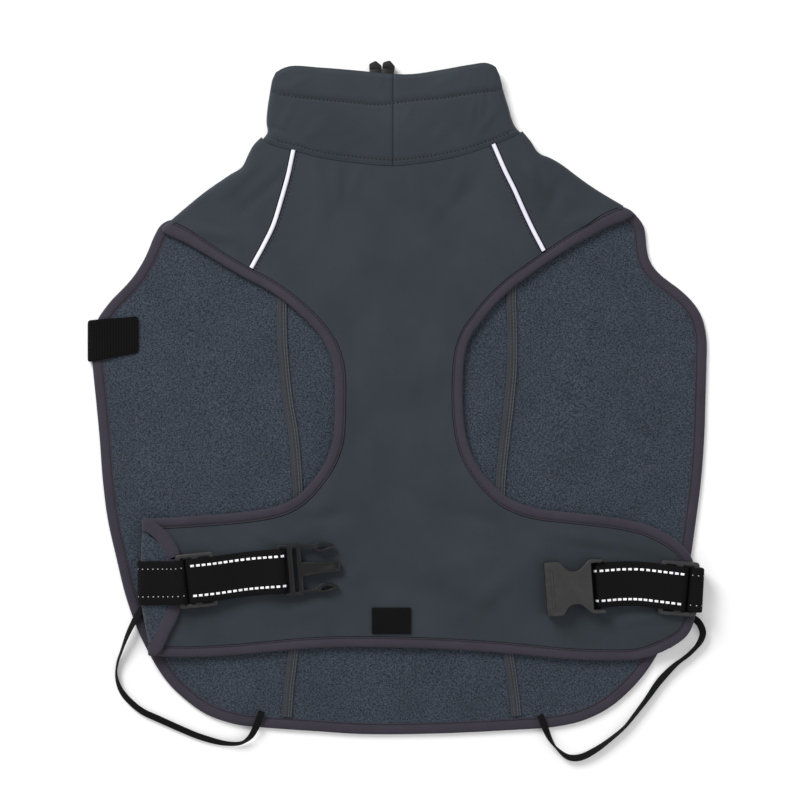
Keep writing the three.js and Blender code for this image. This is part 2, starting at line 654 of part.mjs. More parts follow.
function bindingLegRight() {
  const tip = shoulder(foldRight, 1);
  const round = foldStations(legRightLine[0], tip.inner, 1);
  const front = stationsOf(thin(legRightLine), frontAt, tipTaper).slice(1);
  return strip([...round, ...front], bindingSection, bindingThick);
}

// Flap strip: the tip's end on top, its lower slant, round the fold, then the flap's lower edge.
function bindingFlap() {
  const fold = flapFoldStations(flapLower[0][1], 1).reverse();
  const top = fold[0].p.z;
  const onTop = onTopStations(thin(smooth(tipLowBinding), 0.3, 9).slice(0, -1), top);
  const lower = stationsOf(thin(smooth(flapLower)).slice(1), frontAt, () => bindingWidth);
  return strip([...onTop, ...fold, ...lower], bindingSection, bindingThick);
}

add("binding_leg_left", bindingLegLeft(), bindingCloth);
add("binding_leg_right", bindingLegRight(), bindingCloth);
add("binding_flap", bindingFlap(), bindingCloth);
const hemLine = thin(offset(smooth(backEdge), bindingWidth / 2));
const hemStations = stationsOf(hemLine, () => bindingThick / 2, () => bindingWidth);
add("binding_back", strip(hemStations, bindingSection, bindingThick), bindingCloth);

// Tapes over the back seams, and piping on the chest seams
const tapeHeight = () => cloth + seamGap + tapeThick / 2;
for (const [name, table, top] of [["seam_tape_left", seamLeft, 147], ["seam_tape_right", seamRight, 149]]) {
  const line = thin(between(smooth(table), [table[0][0], -179.5], [last(table)[0], top]));
  add(name, strip(stationsOf(line, tapeHeight, () => tapeWidth), flatSection, tapeThick), softshell);
}
for (const [name, table] of [["piping_left", chestLeft], ["piping_right", chestRight]]) {
  const line = thin(smooth(table));
  line[0] =new THREE.Vector2(line[0].x, neckY(line[0].x) - 0.4);
  const height = (x, y) => frontAt(x, y) + cloth / 2 + seamGap + pipingThick / 2;
  add(name, strip(stationsOf(line, height, () => pipingWidth), roundSection, pipingThick), whitePiping);
}

// Keeper tab: lies on the left side of the back and turns down over its edge.
const keeper = [
  [-149.2, 2.75], [-150, 2.75], [-151.8, 2.75], [-160, 2.8], [-167.8, 3.5], [-172, 3.65], [-175.6, 3.65],
  [-177.4, 3.1], [-178, 1.9], [-178, 0.6],
];
const keeperCorner = [4.4, 1.6, 0];
const keeperStations = keeper.map(([x, z], i) => {
  const before = keeper[Math.max(0, i - 1)];
  const after = keeper[Math.min(keeper.length - 1, i + 1)];
  const ahead = new THREE.Vector3(after[0] - before[0], 0, after[1] - before[1]).normalize();
  const n = new THREE.Vector3(ahead.z, 0, -ahead.x);
  const p = new THREE.Vector3(x, 36.8 + 0.136 * (x + 150), z);
  const width = 21 - 0.107 * (x + 150) - (keeperCorner[i] ?? 0);
  return { p, n, side: new THREE.Vector3(0, 1, 0), width };
});
add("keeper_tab", strip(keeperStations, flatSection, 0.9), blackTape);

const patchLine = [[-15.4, 0], [-8, 0], [0, 0], [6.8, 0]].map(([x]) => new THREE.Vector2(x, -126.6));
const patchHeight = (x, y) => frontAt(x, y) + cloth / 2 + seamGap + 0.6;
add("black_patch", strip(stationsOf(patchLine, patchHeight, () => 15), flatSection, 1.2), blackTape);

// Points of an arc from one angle to another, in degrees.
const arc = (x, z, radius, from, to, steps = 6) => {
  const points = [];
  for (let k = 0; k <= steps; k++) {
    const angle = ((from + (to - from) * (k / steps)) * Math.PI) / 180;
    points.push([x + radius * Math.cos(angle), z + radius * Math.sin(angle)]);
  }
  return points;
};

// Strap as seen from the side: x and z of its middle. Its middle line in plan is a table of x and y.
function strap(sidePath, table) {
  const plan = smooth(table, 2).map((p) => [p.x, p.y]);
  const middle = sidePath.map(([x, z]) => new THREE.Vector3(x, yAt(plan, x), z));
  const stations = middle.map((p, i) => {
    const before = middle[Math.max(0, i - 1)];
    const after = middle[Math.min(middle.length - 1, i + 1)];
    const turn = Math.atan((yAt(plan, p.x + 3) - yAt(plan, p.x - 3)) / 6);
    const side = new THREE.Vector3(-Math.sin(turn), Math.cos(turn), 0);
    const n = after.clone().sub(before).cross(side).normalize();
    return { p, n, side, width: webWidth };
  });
  return strip(stations, flatSection, webThick);
}

const planLeft = [
  [-151, -104.9], [-138, -104.7], [-128, -104.4], [-116, -103.2], [-104, -102], [-85, -99.6], [-67, -98],
  [-60, -97.5],
];
const planRight = [
  [105, -106.7], [114.6, -106], [126, -105.3], [137, -105.3], [150, -106.6], [163, -108.1], [174, -108.9],
];
const strapLeft = [
  [-134, 3.8], [-140, 3.8], ...arc(-144.9, 7.25, 3.45, 270, 90, 8), [-138, 10.9], [-133.5, 11.7],
  [-130.2, 12.9], [-127.6, 14], [-125, 14.4], [-123.1, 14.2], [-121.9, 13.3], [-121.5, 11.8],
  [-121, 9.8], [-119.4, 8.6], [-114, 8.3], [-104, 7.9], [-100, 7.4], [-94, 7.1], [-80, 6.8], [-72, 6.6],
  ...arc(-67.6, 9.3, 2.7, -90, 90),
  [-71, 11.8],
  [-78, 10.4], [-88, 10], [-97, 11], [-104, 12.4], [-112, 13.2], [-116.4, 13.5], [-118.7, 13.2],
  [-119.6, 12.2], [-119.7, 11],
];
const strapRight = [
  [154, 3.8], [162, 3.8], [169.4, 3.6], [171.1, 4.5], [171.7, 6.5], [172.1, 9], [172.2, 11.8],
  [171.6, 13.3], [170, 14.1], [168.2, 14.1], [166.5, 13.5], [165.7, 11.9], [165.2, 10.1], [163.6, 8.8],
  [158, 8.3], [146, 7.5],
  [140, 7], [132, 6.8], [120, 6.7], ...arc(114.6, 9.4, 2.7, -90, -270), [118, 11.9], [126, 10.6],
  [134, 10.3], [140, 10.9],
  [146, 11.7], [153, 12.2], [159.6, 12.8], [162, 12.7], [163.1, 11.9], [163.4, 10.4],
];
add("strap_left", strap(strapLeft, planLeft), blackTape);
add("strap_right", strap(strapRight, planRight), blackTape);

const outline = (points) => new THREE.Shape(points.map(point));
const mirrored = (half) => [...half, ...half.slice().reverse().map(([u, w]) => [u, -w])];

function extrude(shape, depth, bevel = 0) {
  const geometry = new THREE.ExtrudeGeometry(shape, {
    depth: depth - 2 * bevel, bevelEnabled: bevel > 0, bevelSize: bevel, bevelThickness: bevel,
    bevelOffset: -bevel, bevelSegments: 1, steps: 1, curveSegments: 6,
  });
  return geometry.translate(0, 0, -depth / 2 + bevel);
}

function solidOf(geometry) {
  const bare = geometry.index ? geometry.toNonIndexed() : geometry.clone();
  bare.deleteAttribute("normal");
  bare.deleteAttribute("uv");
  const merged = mergeVertices(bare, 1e-4);
  const vertProperties = merged.attributes.position.array;
  const triVerts = new Uint32Array(merged.index.array);
  return new wasm.Manifold(new wasm.Mesh({ numProp: 3, vertProperties, triVerts }));
}

function meshOf(solid) {
  const mesh = solid.getMesh();
  return geometryOf(Array.from(mesh.vertProperties), Array.from(mesh.triVerts));
}

const boxAt = (w, d, h, x, y, z) => new THREE.BoxGeometry(w, d, h).translate(x, y, z);

// Cuts holes, given as outlines, through a plate.
function pierce(plate, holes, depth) {
  let solid = solidOf(plate);
  for (const hole of holes) solid = solid.subtract(solidOf(extrude(outline(hole), depth + 2)));
  return meshOf(solid);
}

// Strap slider: a frame with two slots and a middle bar.
function slider() {
  const shape = outline([
    [-11, -14.2], [-9.6, -15.5], [9.6, -15.5], [11, -14.2], [11, 14.2], [9.6, 15.5], [-9.6, 15.5],
    [-11, 14.2],
  ]);
  const slots = [-5, 5].map((x) => [[x - 3, -13.1], [x + 3, -13.1], [x + 3, 13.1], [x - 3, 13.1]]);
  return pierce(extrude(shape, 2.2, 0.4), slots, 2.2);
}

const sliderLeft = add("slider_left", slider(), plastic);
sliderLeft.position.set(-115, -103.1, 11);
sliderLeft.rotation.set(0, 0.085, THREE.MathUtils.degToRad(5.5));
const sliderRight = add("slider_right", slider(), plastic);
sliderRight.position.set(159, -107.7, 10.58);
sliderRight.rotation.set(0, -Math.atan(1.25 / 17), THREE.MathUtils.degToRad(-4));

// Male buckle half: a ladder frame for the strap, two springy latch arms that end in loops,
// and a guide prong.
function male() {
  const half = [
    [0, 14.6], [12.6, 14.6], [13.4, 13.8], [21, 13.4], [23, 14.4], [27, 14.2], [32.6, 12.4], [33, 11.4],
    [29.5, 9.4],
    [24, 8.8], [21.8, 9.8], [20.6, 11.6], [13.4, 11.8], [13.4, 4.2], [34.4, 2.9], [35.2, 2.2],
  ];
  const plate = extrude(outline(mirrored(half)), 3, 0.35);
  const loop = [[23.4, 10.6], [28.2, 10.8], [30.4, 11.7], [26.8, 12.8], [23.6, 12.8]];
  const holes = [
    [[1.7, -13.2], [5.6, -13.2], [5.6, 13.2], [1.7, 13.2]],
    [[8.6, -12.6], [10.9, -12.6], [10.9, 12.6], [8.6, 12.6]],
    loop, loop.map(([u, w]) => [u, -w]),
  ];
  return pierce(plate, holes, 3);
}
const buckleMale = add("buckle_male", male(), plastic);
buckleMale.position.set(-68.45, -98.1, 9.3);
buckleMale.rotation.z = THREE.MathUtils.degToRad(5);

// Female buckle half: a flat body with a socket through its mouth, a waist that bares the latches,
// and a strap bar.
function female() {
  const half = [
    [0, 15.4], [8.6, 15.4], [12, 10.8], [15, 9.4], [18, 9.4], [21.5, 11.4], [24.5, 14.2], [26.5, 15.5],
    [33.4, 15.5],
    [33.4, 13.4], [26.6, 13.2],
  ];
  const body = solidOf(extrude(outline(mirrored(half)), 8.6, 0.6));
  const socket = solidOf(boxAt(22, 27, 5, 9.5, 0, 0));
  const bar = solidOf(new THREE.CylinderGeometry(1.3, 1.3, 28.6, 10).translate(31.4, 0, -1.2));
  return meshOf(body.subtract(socket).add(bar));
}
const buckleFemale = add("buckle_female", female(), plastic);
buckleFemale.position.set(83.2, -108.2, 10.6);
buckleFemale.rotation.z = THREE.MathUtils.degToRad(4);

// Leg elastic: a thin cord along its route.
function elastic(route) {
  const curve = new THREE.CatmullRomCurve3(route.map((p) => new THREE.Vector3(...p)), false, "centripetal");
  const section = new THREE.Shape();
  for (let k = 0; k < 8; k++) {
    const angle = (Math.PI * (2 * k + 1)) / 8;
    const [x, y] = [(elasticWidth / 2) * Math.cos(angle), (elasticWidth / 2) * Math.sin(angle)];
    if (k === 0) section.moveTo(x, y);
    else section.lineTo(x, y);
  }
  const steps = Math.round(curve.getLength() / (2.5 * elasticWidth));
  return new THREE.ExtrudeGeometry(section, { steps, extrudePath: curve, bevelEnabled: false });
}

const elasticLeft = [
  [-153, -124, 5.2], [-156.6, -134, 5], [-159.4, -144.2, 3.4], [-161.4, -151.6, 2.2],
  [-162, -157.9, 2.05], [-160.8, -163.6, 2.05],
  [-158.2, -168.7, 2.05], [-153, -174.4, 2.05], [-147.1, -179, 2.05], [-136.2, -184.1, 2.05],
  [-124.8, -189.2, 2.05],
  [-113.4, -193.8, 2.05], [-99.2, -197.4, 2.05], [-90.6, -197.2, 2.3], [-85.6, -194, 3.4],
  [-82.4, -189, 4.7], [-79.6, -182, 5.3], [-78.3, -178.4, 5.3],
];
const elasticRight = [
  [173, -124.6, 5.6], [174.4, -132.8, 4.6], [172.6, -138.6, 3], [167, -145.6, 2.05],
  [157.9, -152.8, 2.05], [149.3, -161.8, 2.05],
  [142, -172, 2.05], [135.1, -181, 2.05], [129.4, -188, 2.05], [122, -194.4, 2.05], [112.9, -201, 2.05],
  [104, -205.4, 2.05],
  [97.4, -205.4, 2.05], [91.6, -201.4, 2.05], [86.8, -195, 3.5], [83.4, -187.6, 5.2], [80.6, -180.6, 5.3],
];
add("leg_elastic_left", elastic(elasticLeft), blackTape);
add("leg_elastic_right", elastic(elasticRight), blackTape);

// A drawcord end: a flat five-sided bead that looks out behind the collar's top.
const bead = outline([[-3.4, -6], [3, -6], [3.8, 1], [0.4, 4.4], [-3.2, 2.6]]);
const beadLeft = add("cord_end_left", extrude(bead, 2.4, 0.4), blackTape);
beadLeft.position.set(-13.6, 189, 3.5);
beadLeft.rotation.z = 0.06;
const beadRight = add("cord_end_right", extrude(bead, 2.4, 0.4), blackTape);
beadRight.position.set(-5.6, 189.3, 3.5);
beadRight.rotation.z = -0.1;

export default solids;
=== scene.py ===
import math

import bpy
import numpy as np
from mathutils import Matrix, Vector


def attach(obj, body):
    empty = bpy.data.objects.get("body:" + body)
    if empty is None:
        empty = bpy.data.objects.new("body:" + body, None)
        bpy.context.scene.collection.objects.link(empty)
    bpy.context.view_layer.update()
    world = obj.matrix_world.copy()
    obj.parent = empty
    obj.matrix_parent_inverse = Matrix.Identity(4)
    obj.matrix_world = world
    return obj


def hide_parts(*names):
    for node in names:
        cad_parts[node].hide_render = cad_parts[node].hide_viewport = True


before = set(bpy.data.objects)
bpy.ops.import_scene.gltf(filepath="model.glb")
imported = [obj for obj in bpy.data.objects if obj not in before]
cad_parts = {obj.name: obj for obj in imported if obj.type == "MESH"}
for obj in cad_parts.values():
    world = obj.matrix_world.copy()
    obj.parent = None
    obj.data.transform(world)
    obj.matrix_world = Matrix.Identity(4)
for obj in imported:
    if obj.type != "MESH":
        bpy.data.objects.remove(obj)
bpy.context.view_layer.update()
mm = 0.001  # shape tables below are in millimetres unless they say metres

# Camera straight above the coat
camera = {"place": (0.0006, -0.0006, 1.10), "lens": 85, "width": 0.456}
camData = bpy.data.cameras.new("camera")
camData.lens = camera["lens"]
camData.sensor_width = camera["width"] * camera["lens"] / (camera["place"][2] - 0.008)
camObject = bpy.data.objects.new("camera", camData)
camObject.location = camera["place"]
bpy.context.scene.collection.objects.link(camObject)
bpy.context.scene.camera = camObject


# Lines are arrays of points, one row a point.
def runs(line):
    return np.concatenate([[0], np.cumsum(np.linalg.norm(np.diff(line, axis=0), axis=1))])


def shares(line):
    s = runs(line)
    return s / s[-1]


def lengthOf(line):
    return float(np.linalg.norm(np.diff(line, axis=0), axis=1).sum())


def along(line, t):
    s = shares(line)
    return np.stack([np.interp(np.atleast_1d(t), s, line[:, k]) for k in range(line.shape[1])], axis=1)


def resample(line, count):
    return along(line, np.linspace(0, 1, count + 1))


# Smooth line through a table of points, at equal steps.
def smooth(table, step=1.0):
    p = np.asarray(table, float)
    p = np.vstack([2 * p[0] - p[1], p, 2 * p[-1] - p[-2]])
    t = np.linspace(0, 1, 20, endpoint=False)[:, None]
    parts = []
    for i in range(1, len(p) - 2):
        a, b, c, d = p[i - 1:i + 3]
        t0, t1, t2 = (np.sum((q - r) ** 2) ** 0.25 for q, r in ((b, a), (c, b), (d, c)))
        m0 = ((b - a) / t0 - (c - a) / (t0 + t1) + (c - b) / t1) * t1
        m1 = ((c - b) / t1 - (d - b) / (t1 + t2) + (d - c) / t2) * t1
        parts.append(b + m0 * t + (3 * c - 3 * b - 2 * m0 - m1) * t ** 2 + (2 * b - 2 * c + m0 + m1) * t ** 3)
    dense = np.vstack(parts + [p[-2:-1]])
    return resample(dense, max(2, math.ceil(lengthOf(dense) / step)))


def unit(rows):
    return rows / np.linalg.norm(rows, axis=-1)[..., None]


def headings(line):
    before = np.vstack([line[:1], line[:-1]])
    after = np.vstack([line[1:], line[-1:]])
    d = after - before
    return d / np.maximum(1e-9, np.linalg.norm(d, axis=1))[:, None]


# Moves a plane line to its left.
def offset(line, distance):
    d = headings(line)
    return line + np.stack([-d[:, 1], d[:, 0]], axis=1) * np.reshape(distance, (-1, 1))


def nearest(line, target):
    return int(np.linalg.norm(line - np.asarray(target, float), axis=1).argmin())


def between(line, a, b):
    i, j = nearest(line, a), nearest(line, b)
    return line[i:j + 1] if i <= j else line[j:i + 1][::-1]


def ends(line, a, b):
    return np.vstack([a, line[1:-1], b])


def ease(t):
    s = np.clip(t, 0, 1)
    return s * s * (3 - 2 * s)


# Fills the area between four lines with rows of points.
def patch(bottom, top, left, right, columns, rows):
    u = np.linspace(0, 1, columns + 1)[None, :, None]
    v = np.linspace(0, 1, rows + 1)[:, None, None]
    b, t = along(bottom, u[0, :, 0])[None], along(top, u[0, :, 0])[None]
    l, r = along(left, v[:, 0, 0])[:, None], along(right, v[:, 0, 0])[:, None]
    corners = (1 - u) * (1 - v) * b[:, :1] + u * (1 - v) * b[:, -1:]
    corners = corners + (1 - u) * v * t[:, :1] + u * v * t[:, -1:]
    return (1 - u) * l + u * r + (1 - v) * b + v * t - corners


# Leg elastics: flat ribbons that turn on edge and back. Routes in metres, a few millimetres farther under the
# flap than the solids' routes, and the turn of the ribbon in degrees along them.
elastics = {
    "leg_elastic_left": {
        "route": [
            (-0.1466, -0.1196, 0.0042), (-0.1502, -0.125, 0.0046), (-0.1548, -0.134, 0.005),
            (-0.1588, -0.1442, 0.0036), (-0.1614, -0.1516, 0.0022), (-0.162, -0.1579, 0.00205),
            (-0.1608, -0.1636, 0.00205), (-0.1582, -0.1687, 0.00205), (-0.153, -0.1744, 0.00205),
            (-0.1471, -0.179, 0.00205), (-0.1362, -0.1841, 0.00205), (-0.1248, -0.1892, 0.00205),
            (-0.1134, -0.1938, 0.00205), (-0.0992, -0.1974, 0.00205), (-0.0906, -0.1972, 0.0023),
            (-0.0856, -0.194, 0.0034), (-0.0824, -0.189, 0.0047), (-0.0796, -0.182, 0.0053),
            (-0.0783, -0.1784, 0.0053)],
        "twist": [(0, 10), (0.07, 40), (0.17, 66), (0.26, 74), (0.36, 30), (0.5, 14), (0.72, 24), (0.86, 60),
                  (0.93, 20), (1, 6)],
    },
    "leg_elastic_right": {
        "route": [
            (0.1668, -0.1244, 0.004), (0.1712, -0.1276, 0.0042), (0.1738, -0.1332, 0.004),
            (0.1726, -0.1386, 0.003), (0.167, -0.1456, 0.00205), (0.1579, -0.1528, 0.00205),
            (0.1493, -0.1618, 0.00205), (0.142, -0.172, 0.00205), (0.1351, -0.181, 0.00205),
            (0.1294, -0.188, 0.00205), (0.122, -0.1944, 0.00205), (0.1129, -0.201, 0.00205),
            (0.104, -0.2054, 0.00205), (0.0974, -0.2054, 0.00205), (0.0916, -0.2014, 0.00205),
            (0.0868, -0.195, 0.0035), (0.0834, -0.1876, 0.0052), (0.0806, -0.1806, 0.0053)],
        "twist": [(0, 10), (0.07, 20), (0.14, 66), (0.22, 72), (0.32, 34), (0.42, 62), (0.55, 80), (0.64, 66),
                  (0.76, 28), (0.86, 84), (0.94, 24), (1, 6)],
    },
}
ribbon = {"width": 0.004, "thick": 0.0008}


def materialNamed(name):
    return bpy.data.materials.get(name) or bpy.data.materials.new(name)


# Makes a mesh object from arrays in metres. Faces may carry a material number and each corner a UV.
def meshObject(name, points, faces, materials, indices=None, uvs=None, smoothAngle=None):
    mesh = bpy.data.meshes.new(name)
    mesh.from_pydata([tuple(p) for p in points], [], [tuple(f) for f in faces])
    for material in materials:
        mesh.materials.append(materialNamed(material))
    if indices is not None:
        mesh.polygons.foreach_set("material_index", np.asarray(indices, np.int32))
    if uvs is not None:
        layer = mesh.uv_layers.new(name="UVMap")
        loops = np.zeros(len(mesh.loops), np.int32)
        mesh.loops.foreach_get("vertex_index", loops)
        layer.data.foreach_set("uv", np.asarray(uvs, np.float32)[loops].ravel())
    mesh.polygons.foreach_set("use_smooth", np.ones(len(mesh.polygons), bool))
    mesh.validate()
    mesh.update()
    made = bpy.data.objects.new(name, mesh)
    bpy.context.scene.collection.objects.link(made)
    if smoothAngle is not None:
        select(made)
        bpy.ops.object.shade_smooth_by_angle(angle=math.radians(smoothAngle))
    return made


def select(obj):
    bpy.ops.object.select_all(action="DESELECT")
    obj.select_set(True)
    bpy.context.view_layer.objects.active = obj


def turnOutwards(obj):
    select(obj)
    bpy.ops.object.mode_set(mode="EDIT")
    bpy.ops.mesh.select_all(action="SELECT")
    bpy.ops.mesh.normals_make_consistent(inside=False)
    bpy.ops.object.mode_set(mode="OBJECT")


leafShift = 0.02  # how far a trim's two faces lie apart on its UV map


# Sweeps a closed section (share of width, share of thickness) along stations, in the units given.
def sweep(name, middle, normals, sides, width, thick, section, material, scale=mm, smoothAngle=50):
    middle, normals, sides = (np.asarray(a, float) for a in (middle, normals, sides))
    width = np.broadcast_to(np.reshape(width, (-1, 1)), (len(middle), 1))
    thick = np.broadcast_to(np.reshape(thick, (-1, 1)), (len(middle), 1))
    m = len(section)
    rings = [middle + sides * (a * width) + normals * (b * thick) for a, b in section]
    points = np.stack(rings, axis=1).reshape(-1, 3)
    uvs = [np.stack([runs(middle), a * width[:, 0] + (0.5 - b) * leafShift], axis=1) for a, b in section]
    uvs = np.stack(uvs, axis=1).reshape(-1, 2)
    faces = []
    for i in range(len(middle) - 1):
        for k in range(m):
            a, b = i * m + k, i * m + (k + 1) % m
            faces.append((a, b, b + m, a + m))
    faces.append(tuple(range(m))[::-1])
    faces.append(tuple(range((len(middle) - 1) * m, len(middle) * m)))
    made = meshObject(name, points * scale, faces, [material], uvs=uvs * scale)
    turnOutwards(made)
    bpy.ops.object.shade_smooth_by_angle(angle=math.radians(smoothAngle))
    return made


# Rounded flat section, from a power of the ellipse.
def roundedSection(count, power):
    section = []
    for k in range(count):
        angle = 2 * math.pi * (k + 0.5) / count
        c, s = math.cos(angle), math.sin(angle)
        section.append((0.5 * math.copysign(abs(c) ** power, c), 0.5 * math.copysign(abs(s) ** power, s)))
    return section


def makeElastic(name, spec):
    path = smooth(spec["route"], 0.0012)
    ahead = headings(path)
    turn = np.radians(np.interp(shares(path), *np.transpose(spec["twist"])))[:, None]
    flat = unit(np.cross([0, 0, 1], ahead))
    upright = np.cross(ahead, flat)
    sides = flat * np.cos(turn) + upright * np.sin(turn)
    normals = np.cross(ahead, sides)
    made = sweep(name + "_ribbon", path, normals, sides, ribbon["width"], ribbon["thick"],
                 roundedSection(10, 0.5), "elasticRibbon", scale=1)
    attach(made, "root")
    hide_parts(name)


for elasticName, elasticSpec in elastics.items():
    makeElastic(elasticName, elasticSpec)
print("leg elastics made")

# Cloth sizes and heights
cloth = {
    "thick": 2, "seamGap": 0.3, "bindingWidth": 6.2, "bindingTipWidth": 8.2, "bindingThick": 2.8,
    "tapeOnTip": 7.2, "tapeUnderTip": 7.4, "hemExtra": 0.6,
    "back": 1, "front": 4.7, "neck": 6, "flapEnd": 5.8, "flapRight": 6.3, "tipFoldRadius": 1.45,
}

# Outline tables, as the solids have them
legLeft = [
    (-131.4, 97.9), (-121, 93), (-110.5, 86.5), (-99.2, 79.3), (-87.8, 72.6), (-78, 67.6), (-67.8, 61.4),
    (-56.4, 52.3), (-45.5, 41.5), (-38.5, 31.5), (-35, 22), (-33.6, 12), (-33.5, 0), (-33.7, -12),
    (-34.9, -25), (-39, -36.5), (-45, -46), (-53, -55.3), (-60, -60.5), (-68, -64), (-76.4, -66),
    (-85, -67.3), (-100, -68.8), (-113.4, -69.8), (-130, -70.8), (-144.6, -71.4)]
legRight = [
    (129.3, 106.4), (120, 102.8), (109.5, 96.8), (97.5, 90), (86, 82.4), (74.7, 74.4), (63.3, 66),
    (52, 55.2), (44.5, 45.8), (38.6, 37.4), (35.4, 29), (34, 20), (33.5, 10), (33.4, 0), (34.2, -14),
    (36.6, -26.5), (40.2, -35.5), (45.2, -43.8), (52, -51.9), (60.5, -59), (70, -63.4), (80, -66),
    (97.5, -68), (115, -69.9), (128, -71.8), (140, -74.6), (151, -79.6), (160, -86), (164.6, -92.5),
    (166.4, -100), (166.5, -108), (166.5, -118), (165.6, -126), (162, -133.4), (153, -139.8)]
flapLower = [
    (-139.3, -143.4), (-130, -144.3), (-116, -144.5), (-93, -143.3), (-70.6, -141.2), (-48, -139.4),
    (-18, -138.8), (23.4, -139.9), (52, -141.6), (75, -143.6), (92, -145.3), (114.6, -146.4),
    (137.4, -145.6), (151.4, -140.5)]
backEdge = [
    (-138.6, 96.8), (-141.4, 91), (-144.2, 84), (-147.5, 77.5), (-153.3, 68.8), (-159, 62.6), (-165, 56.4),
    (-170.8, 48.8), (-175, 41), (-176.6, 32), (-175.6, 18), (-173.8, 0), (-171.6, -23.4), (-169.9, -46.2),
    (-167, -69), (-161.9, -91.8), (-156.2, -114.6), (-147.6, -137.4), (-134.5, -160.2), (-124.8, -170.4),
    (-110.6, -180.7), (-93.5, -186.6), (-79, -188.3), (-45, -190.7), (-20, -192.2), (23.4, -191.8),
    (69, -189.6), (88, -188.2), (105, -184.6), (119.7, -177.6), (132, -167.5), (142, -156), (150, -143),
    (157, -128), (162, -112), (167, -91.8), (170.4, -69), (173.3, -46.2), (175.2, -20), (175.8, 0),
    (176.4, 22), (176.4, 34), (174, 46), (169.6, 54), (162.4, 61.6), (154.5, 67.6), (147.5, 73.6),
    (143.4, 80.4), (141.8, 88), (141.2, 95), (139.6, 100.8), (136, 105.2)]
seamLeft = [
    (-64.2, -182.3), (-63, -166), (-60.7, -146), (-57.8, -110), (-57.2, -80), (-57.6, -58), (-59, -35),
    (-60.7, -18), (-63.6, -1), (-65.4, 15), (-66.8, 34), (-67, 56), (-66.5, 92), (-64, 151)]
seamRight = [
    (67.4, -182.6), (66.4, -172), (64.4, -157), (62, -142), (59.3, -110), (58.2, -75), (58.2, -49),
    (60, -29), (62.7, -6), (64.8, 17), (65, 34), (64.4, 56), (63.5, 92), (59, 152.6)]
foldLeft = [
    (-129.8, 103), (-124, 108), (-111, 118.6), (-97.5, 127.6), (-89.6, 132.4), (-86.4, 138.6),
    (-83.6, 143.6), (-78.8, 148.2)]
foldRight = [
    (126.5, 111.8), (115, 118.6), (106, 124.6), (92.5, 134.6), (86, 138.2), (79.6, 140.8), (75.6, 146),
    (70.6, 151.6)]
chestLeft = [(-60.2, 142), (-63.3, 127.7), (-67.3, 113.4), (-71.8, 99.2), (-77.3, 87.8), (-83.2, 77)]
chestRight = [(53.9, 145.4), (60.4, 130.5), (66.1, 119.1), (71.2, 107.7), (76.4, 96.8), (81.6, 86.8)]
collarSeam = smooth([
    (-78.4, 148.4), (-73.5, 145.6), (-67.8, 143.6), (-61.6, 142.3), (-45, 137.9), (-27.9, 135.3),
    (-3.4, 133.2), (12, 134.6), (23.4, 136.4), (34.8, 138.9), (46.2, 142.4), (57.6, 146.6), (63.3, 149),
    (70.4, 151.9)])
collarTop = smooth([
    (-72.6, 183), (-69, 187.2), (-62.1, 190), (-45, 189.2), (-25, 187.6), (-4, 185.6), (8, 185.5),
    (23.4, 187.8), (40.5, 190.8), (50, 191.8), (55.2, 189.4), (58, 183)])
collarFoldLeft = [
    (-78.4, 148.4), (-75.4, 152.6), (-76, 158), (-75.6, 165), (-74.6, 172), (-73.4, 179), (-72.6, 183)]
collarFoldRight = [
    (70.4, 151.9), (66.6, 156), (64.4, 161), (63, 166.4), (61.2, 172), (59.4, 178), (58, 183)]
collarCentre = -3.4
backNeck = np.array([
    (-75, 148.4), (-64, 151.2), (-30, 150.2), (0, 149.8), (30, 150.8), (59, 152.8), (67, 151.9)])
tipFold = [(-140.4, -139.2), (-142.8, -127), (-144.3, -117), (-144.3, -80), (-143.8, -76.3)]
tipLower = [(-132, -118.2), (-134.2, -122.3), (-138, -128.6), (-141.2, -134.2), (-140.4, -139.2)]
tipUpper = [(-132, -91.8), (-133.4, -88.9), (-137, -83.9), (-142.6, -78.8), (-143.8, -76.3)]
tipTopBinding = [(-143.8, -71.4), (-139, -74.4), (-133, -80.4), (-129, -86.2), (-127.8, -90)]
tipLowBinding = [
    (-127.8, -91.4), (-127.6, -105), (-127.8, -119), (-129.8, -124.4), (-133.4, -131), (-136, -137),
    (-139.3, -143.4)]

# Soft creases of the front layer. A row is from x, y, to x, y, height and half width. The solid has the first
# table's too, and the others are the dressing's alone.
creases = [
    (-36, -42, -52, -76, 0.8, 9), (38, -46, 58, -80, 0.9, 9), (-20, 110, -8, -20, 0.7, 18),
    (30, 96, 24, 0, 0.6, 14), (-14, -92, 44, -98, 0.8, 14)]
fineCreases = [
    (-62, 132, -92, 104, -0.35, 5), (-78, 138, -106, 112, 0.4, 6), (62, 138, 96, 112, 0.4, 6),
    (48, 128, 20, 96, -0.3, 7), (-40, 128, -50, 84, 0.35, 7), (-22, -112, -66, -126, 0.35, 8),
    (12, -108, 70, -128, -0.3, 8), (-84, -74, -60, -86, 0.4, 5), (84, -76, 120, -82, 0.35, 6),
    (-48, 133, -44, 118, 0.5, 3.5), (-36, 132, -35, 112, 0.6, 4), (-23, 131, -26, 117, 0.45, 3.5),
    (8, 130, 12, 112, 0.4, 5), (36, 134, 32, 116, 0.4, 4.5), (-96, 120, -84, 96, -0.6, 6),
    (-120, 98, -96, 92, 0.6, 5), (-104, 108, -92, 88, 0.5, 5), (92, 124, 84, 104, -0.5, 6),
    (118, 104, 96, 100, 0.5, 5), (74, 136, 78, 116, 0.5, 5), (-60, -70, -30, -66, -0.5, 7),
    (26, -64, 60, -72, -0.5, 8), (-52, -118, -20, -98, 0.5, 9), (40, -120, 66, -98, 0.45, 9),
    (-6, 60, 6, -60, 0.5, 16), (-26, 40, -22, -50, -0.4, 9), (100, -84, 150, -92, -0.4, 6),
    (120, -128, 156, -122, 0.5, 6)]


